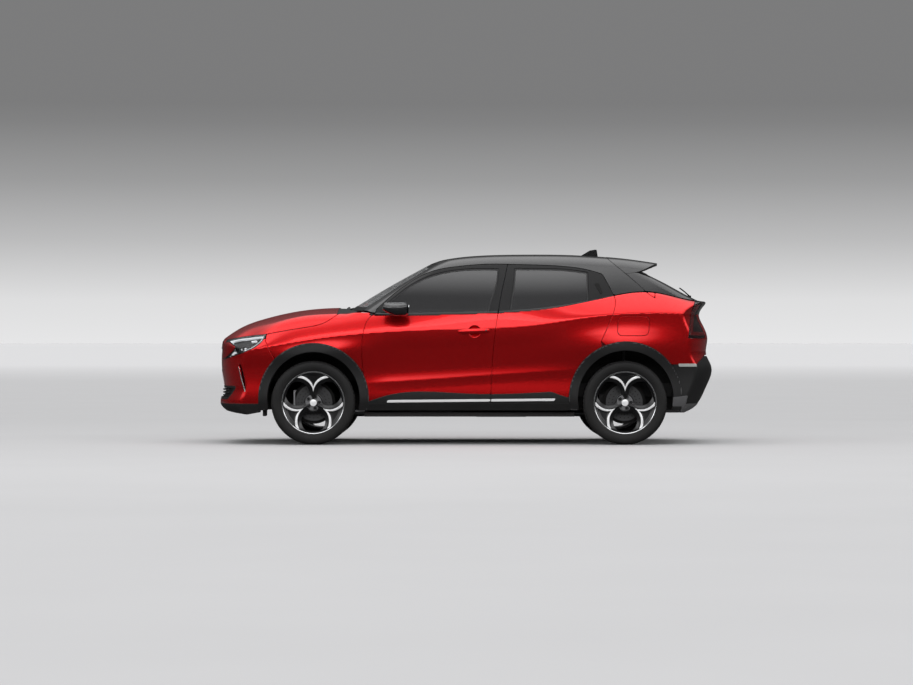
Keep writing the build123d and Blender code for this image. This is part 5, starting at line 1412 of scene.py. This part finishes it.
# dashboard, wheel and controls
dashSection = [(-0.795, 0.720), (-0.795, 1.020), (-0.700, 1.046), (-0.620, 1.050), (-0.560, 1.030),
               (-0.520, 1.000), (-0.503, 0.950), (-0.505, 0.900), (-0.560, 0.760), (-0.640, 0.700)]
dash = skin([[(x, y, z) for x, z in rounded(np.array(dashSection), 0.02)]
             for y in (-0.688, -0.40, 0.0, 0.40, 0.688)])
meshObject("dashBody", dash, "soft", "body", ["dashboard"])
console = joined(softBox((-0.78, -0.108, 0.358), (0.118, 0.108, 0.444), 0.02, 3),
                 softBox((-0.778, -0.108, 0.402), (-0.502, 0.108, 0.718), 0.02, 3))
meshObject("centreConsole", console, "soft", "body")
meshObject("armrest", softBox((-0.16, -0.088, 0.438), (0.115, 0.088, 0.486), 0.02, 3), "cloth", "body")
meshObject("gearLever",
           joined(tube(arc([(-0.36, 0, 0.44), (-0.365, 0, 0.50), (-0.36, 0, 0.532)], 0.01), 0.010, 14),
                  lathe([(0.0004, -0.02), (0.018, -0.014), (0.022, 0.004), (0.018, 0.022), (0.0004, 0.028)],
                        (-0.36, 0, 0.545), 24, 2)), "trim", "body")
meshObject("centreScreen",
           slab([(-0.13, 0.962), (0.13, 0.962), (0.13, 1.052), (-0.13, 1.052)], 0, -0.538, -0.515, 0.003),
           "screen", "body")
meshObject("clusterHood", softBox((-0.60, -0.50, 1.030), (-0.515, -0.23, 1.066), 0.012, 3), "soft", "body")
meshObject("clusterFace",
           slab([(-0.49, 0.985), (-0.24, 0.985), (-0.24, 1.045), (-0.49, 1.045)], 0, -0.530, -0.510, 0.003),
           "screen", "body")
for y in (-0.62, -0.17, 0.17, 0.62):
    ventFrame = softBox((-0.530, y - 0.055, 0.915), (-0.500, y + 0.055, 0.952), 0.006)
    ventBlade = softBox((-0.506, y - 0.049, 0.921), (-0.4985, y + 0.049, 0.9235), 0.0008, 1)
    rows = repeated(ventBlade, "row", 5, (0, 0, 0.0062), "trim")
    meshObject(f"vent_{y * 100:.0f}".replace("-", "m"), joined(ventFrame, rows), "trim", "body")
column = np.array([-0.405, -0.365, 0.985])
axisWay = np.array([0.9, 0, 0.436]) / np.hypot(0.9, 0.436)
upWay = np.array([-axisWay[2], 0, axisWay[0]])
overWay = np.array([0, 1.0, 0])


def onColumn(part):                     # local (across, up, out) points set on the steering column
    p, n, faces = part
    return column + p[:, :1] * overWay + p[:, 1:2] * upWay + p[:, 2:] * axisWay, None, faces


around = np.linspace(0, 2 * math.pi, 73)[:-1]
section = np.linspace(0, 2 * math.pi, 14, endpoint=False)
steer = {"radius": 0.178, "grip": 0.013, "thick": 0.0135}
aa, bb = np.meshgrid(around, section, indexing="ij")
reach = steer["radius"] + steer["grip"] * np.cos(bb)
rimTube = np.stack([reach * np.cos(aa), reach * np.sin(aa), steer["thick"] * np.sin(bb)], -1).reshape(-1, 3)
meshObject("steeringRim", onColumn((rimTube, None, wrapped(72, 14, True))), "leather",
           "steering_wheel", ["steering_wheel"])
pad = joined(softBox((-0.062, -0.060, -0.034), (0.062, 0.050, -0.002), 0.014, 3),
             softBox((-0.170, -0.022, -0.022), (-0.055, 0.018, -0.008), 0.005),
             softBox((0.055, -0.022, -0.022), (0.170, 0.018, -0.008), 0.005),
             softBox((-0.020, -0.170, -0.022), (0.020, -0.050, -0.008), 0.005),
             softBox((-0.028, -0.028, -0.080), (0.028, 0.028, -0.030), 0.008))
meshObject("steeringPad", onColumn(pad), "soft", "steering_wheel")
buttons = [softBox((s * 0.105 - 0.017, -0.012 + k * 0.014, -0.009),
                   (s * 0.105 + 0.017, -0.002 + k * 0.014, -0.0055), 0.0015, 1)
           for s in (-1, 1) for k in (0, 1)]
meshObject("steeringButtons", onColumn(joined(*buttons)), "bright", "steering_wheel")
print("dashboard done")

# seats: padded pieces on their frames
def padBox(low, high, lean=0.0, pivot=(0, 0), radius=0.05):
    p, _, faces = softBox(low, high, radius, 4)
    c, s = math.cos(lean), math.sin(lean)
    dx, dz = p[:, 0] - pivot[0], p[:, 2] - pivot[1]
    return np.stack([pivot[0] + c * dx + s * dz, p[:, 1], pivot[1] - s * dx + c * dz], 1), None, faces


stuffing = {"voxel": 0.008, "pressure": 4, "frames": 20, "fill": 0.6}


def inflate(piece, limit):              # fills a closed cover with air, as stuffing would
    mesh = piece.data
    before = np.array([v.co for v in mesh.vertices])
    cloth = piece.modifiers.new("fill", "CLOTH")
    cloth.settings.use_pressure = True
    cloth.settings.uniform_pressure_force = stuffing["pressure"]
    cloth.settings.effector_weights.gravity = 0
    for number in range(stuffing["frames"]):
        scene.frame_set(number + 1)
    shaped = piece.evaluated_get(bpy.context.evaluated_depsgraph_get()).to_mesh()
    after = np.array([v.co for v in shaped.vertices])
    piece.modifiers.remove(cloth)
    scene.frame_set(1)
    move = after - before
    size = np.linalg.norm(move, axis=1, keepdims=True).clip(1e-9)
    move *= np.minimum(size, limit) / size
    mesh.vertices.foreach_set("co", (before + move).astype(np.float32).ravel())
    mesh.update()


def seatPiece(name, part, limit, material="cloth", stands=()):
    piece = meshObject(name, part, material, "body", stands)
    remesh = piece.modifiers.new("even", "REMESH")
    remesh.mode, remesh.voxel_size = "VOXEL", stuffing["voxel"]
    even = bpy.data.meshes.new_from_object(piece.evaluated_get(bpy.context.evaluated_depsgraph_get()))
    piece.modifiers.remove(remesh)
    even.materials.clear()
    even.materials.append(finish[material])
    piece.data = even
    inflate(piece, limit)
    even.polygons.foreach_set("use_smooth", np.ones(len(even.polygons), bool))
    return piece


def copied(piece, name, shift=0.0, flip=False):
    mesh = piece.data.copy()
    points = np.empty(len(mesh.vertices) * 3, np.float32)
    mesh.vertices.foreach_get("co", points)
    points = points.reshape(-1, 3)
    points[:, 1] = -points[:, 1] if flip else points[:, 1] + shift
    mesh.vertices.foreach_set("co", points.ravel())
    if flip:
        mesh.flip_normals()
    mesh.update()
    other = bpy.data.objects.new(name, mesh)
    scene.collection.objects.link(other)
    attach(other, "body")
    return other


backLean = math.radians(12)
seatShapes = {"cushion": [padBox((-0.165, -0.545, 0.425), (0.300, -0.185, 0.495), 0.0, (0, 0.46), 0.03)],
              "bolsters": [padBox((-0.150, -0.605, 0.430), (0.310, -0.550, 0.520), 0.0, (0, 0.46), 0.025),
                           padBox((-0.150, -0.180, 0.430), (0.310, -0.128, 0.520), 0.0, (0, 0.46), 0.025)],
              "back": [padBox((0.318, -0.530, 0.515), (0.395, -0.200, 1.000), backLean, (0.33, 0.50), 0.03)],
              "backSides": [padBox((0.300, -0.595, 0.530), (0.400, -0.535, 0.940), backLean, (0.33, 0.50),
                                   0.025),
                            padBox((0.300, -0.195, 0.530), (0.400, -0.135, 0.940), backLean, (0.33, 0.50),
                                   0.025)],
              "head": [padBox((0.345, -0.485, 1.040), (0.425, -0.245, 1.190), backLean, (0.33, 0.50), 0.03)]}
first = True
for label, shapes in seatShapes.items():
    for number, part in enumerate(shapes):
        piece = seatPiece(f"frontSeat_{label}{number}_left", part, 0.022,
                          "leather" if "olster" in label or "Sides" in label else "cloth",
                          ["front_seats"] if first else ())
        copied(piece, f"frontSeat_{label}{number}_right", flip=True)
        first = False
shellBack = joined(softBox((0.400, -0.590, 0.440), (0.420, -0.140, 0.960), 0.008),
                   softBox((-0.13, -0.56, 0.355), (0.38, -0.17, 0.425), 0.02),
                   softBox((-0.08, -0.55, 0.272), (0.32, -0.50, 0.365), 0.006),
                   softBox((-0.08, -0.23, 0.272), (0.32, -0.18, 0.365), 0.006))
meshObject("frontSeatFrames", joined(shellBack, mirrored(*shellBack)), "soft", "body")
posts = [tube([(0.430, s * 0.365 + t, 0.96), (0.462, s * 0.365 + t, 1.07)], 0.006, 12) for s in (-1, 1)
         for t in (-0.05, 0.05)]
meshObject("headrestPosts", joined(*posts), "steel", "body")
rearLean = math.radians(13)
rearParts = [("cushion", padBox((0.660, -0.560, 0.505), (1.120, -0.020, 0.560), 0, (0, 0.5), 0.025)),
             ("back", padBox((1.145, -0.560, 0.545), (1.225, -0.020, 1.060), rearLean, (1.145, 0.55), 0.03)),
             ("head", padBox((1.135, -0.490, 1.120), (1.200, -0.270, 1.205), rearLean, (1.145, 0.55), 0.025))]
for number, (label, part) in enumerate(rearParts):
    piece = seatPiece(f"rearSeat_{label}_left", part, 0.020, "cloth", ["rear_seat"] if number == 0 else ())
    copied(piece, f"rearSeat_{label}_right", flip=True)
meshObject("rearSeatBack", joined(softBox((1.300, -0.585, 0.56), (1.322, 0.585, 1.075), 0.006)),
           "soft", "body")
print("seats done")

# parts carried over from the frame take their own finishes
carried = {"floor_pan": "under", "wheel_liners": "liner", "front_subframe": "under",
           "front_crash_beam": "steel",
           "motor_block": "trim", "exhaust": "steel", "fuel_tank": "under", "rear_axle": "under",
           "front_knuckle_left": "steel", "front_knuckle_right": "steel", "antenna_fin": "black"}
for node, material in carried.items():
    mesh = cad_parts[node].data
    mesh.materials.clear()
    mesh.materials.append(finish[material])
print("frame parts finished")


# floor, light and camera
def rampNode(tree, value, low, high, stops):      # greys along the span of a value
    node = addNode(tree, "ValToRGB",
                   {0: addNode(tree, "MapRange",
                               {"Value": value, "From Min": low, "From Max": high}).outputs[0]})
    elements = node.color_ramp.elements
    elements[0].position, elements[-1].position = stops[0][0], stops[-1][0]
    for spot, _ in stops[1:-1]:
        elements.new(spot)
    for element, (_, value) in zip(elements, stops):
        element.color = (value, value, value * 1.008, 1)
    return node


floorMaterial, floorTree, floorShader = newMaterial("studioFloor",
                                                    {"Roughness": 0.75, "Specular IOR Level": 0.05})
place = addNode(floorTree, "TexCoord").outputs["Object"]
spots = addNode(floorTree, "SeparateXYZ", {0: place})
cloud = addNode(floorTree, "TexNoise", {"Vector": place, "Scale": 0.7, "Detail": 3.0})
drift = addNode(floorTree, "MapRange", {"Value": cloud.outputs["Fac"], "To Min": 0.97, "To Max": 1.03})
# painted shade and painted light on the floor: its colour goes darker a few metres behind the car and lighter
# far away
paintedFloorShade = rampNode(floorTree, spots.outputs["Y"], -6.0, 90.0,
                 ((0.0, 0.520), (0.14, 0.455), (0.50, 0.460), (1.0, 0.590)))
shade = addNode(floorTree, "Mix", {"Factor": 1.0, "A": paintedFloorShade.outputs["Color"], "B": drift.outputs[0]},
                data_type="RGBA", blend_type="MULTIPLY")
floorTree.links.new(shade.outputs["Result"], floorShader.inputs["Base Color"])
# glossy rays see the floor as dark grey instead of its own colour: a painted dark reflection of the floor in
# the paint and glass
floorPaintedDarkInReflections = addNode(floorTree, "BsdfDiffuse", {"Color": (0.06, 0.06, 0.06, 1)})
floorRays = addNode(floorTree, "LightPath")
floorMix = addNode(floorTree, "MixShader", {0: floorRays.outputs["Is Glossy Ray"], 1: floorShader.outputs[0],
                                            2: floorPaintedDarkInReflections.outputs[0]})
floorTree.links.new(floorMix.outputs[0], floorTree.nodes["Material Output"].inputs[0])
floor = bpy.data.objects.new("floor", bpy.data.meshes.new("floor"))
far = 3000
floor.data.from_pydata([(-far, -far, -0.001), (far, -far, -0.001), (far, far, -0.001), (-far, far, -0.001)],
                       [], [(0, 1, 2, 3)])
floor.data.materials.append(floorMaterial)
scene.collection.objects.link(floor)


scene.world = bpy.data.worlds.new("world")
scene.world.use_nodes = True
sky = scene.world.node_tree
direction = addNode(sky, "TexCoord").outputs["Generated"]
aimed = addNode(sky, "SeparateXYZ", {0: direction})
height = aimed.outputs["Z"]
nearTones = rampNode(sky, height, 0.0, 1.0,
                     ((0.0, 0.012), (0.13, 0.016), (0.20, 0.36), (0.28, 0.85), (0.44, 0.78),
                      (0.56, 0.24), (0.69, 0.13), (0.735, 0.18), (0.79, 0.85), (0.87, 0.60), (1.0, 0.80)))
farTones = rampNode(sky, height, 0.0, 1.0,
                    ((0.0, 0.010), (0.30, 0.03), (0.55, 0.10), (0.80, 0.50), (1.0, 0.80)))
farShare = addNode(sky, "MapRange", {"Value": aimed.outputs["Y"], "From Min": -0.15, "From Max": 0.25})
studio = addNode(sky, "Mix", {"Factor": farShare.outputs[0], "A": nearTones.outputs["Color"],
                              "B": farTones.outputs["Color"]}, data_type="RGBA")
# what the camera sees behind the car: painted shading on the backdrop, pale at the horizon and darker higher
# up
seen = rampNode(sky, height, 0.0, 0.075,
                ((0.0, 0.79), (0.18, 0.73), (0.43, 0.50), (0.68, 0.328), (0.92, 0.22), (1.0, 0.20)))
sky.links.new(studio.outputs["Result"], sky.nodes["Background"].inputs["Color"])
sky.nodes["Background"].inputs["Strength"].default_value = 2.9
plain = addNode(sky, "Background", {"Color": seen.outputs["Color"], "Strength": 1.0})
rays = addNode(sky, "LightPath")
clearView = addNode(sky, "Math", {0: rays.outputs["Is Camera Ray"], 1: rays.outputs["Is Transmission Ray"]},
                    operation="MAXIMUM")
choose = addNode(sky, "MixShader",
                 {0: clearView.outputs[0], 1: sky.nodes["Background"].outputs[0], 2: plain.outputs[0]})
sky.links.new(choose.outputs[0], sky.nodes["World Output"].inputs[0])


def lamp(name, spot, aim, size, power):  # soft rectangular light turned towards a point
    data = bpy.data.lights.new(name, "AREA")
    data.shape, data.energy = "RECTANGLE", power
    data.size, data.size_y = size
    light = bpy.data.objects.new(name, data)
    light.location = spot
    light.rotation_euler = (Vector(aim) - Vector(spot)).to_track_quat("-Z", "Y").to_euler()
    scene.collection.objects.link(light)


lamp("nearSide", (-1.5, -8.0, 5.5), (0, 0, 0.7), (4.0, 1.2), 30)
view = {"spot": (-0.076, -26.89, 0.839), "lens": 125.1}
scene.camera = bpy.data.objects.new("camera", bpy.data.cameras.new("camera"))
scene.collection.objects.link(scene.camera)
scene.camera.location = view["spot"]
scene.camera.rotation_euler = (math.pi / 2, 0, 0)
scene.camera.data.lens = view["lens"]
scene.camera.data.clip_end = 2 * far
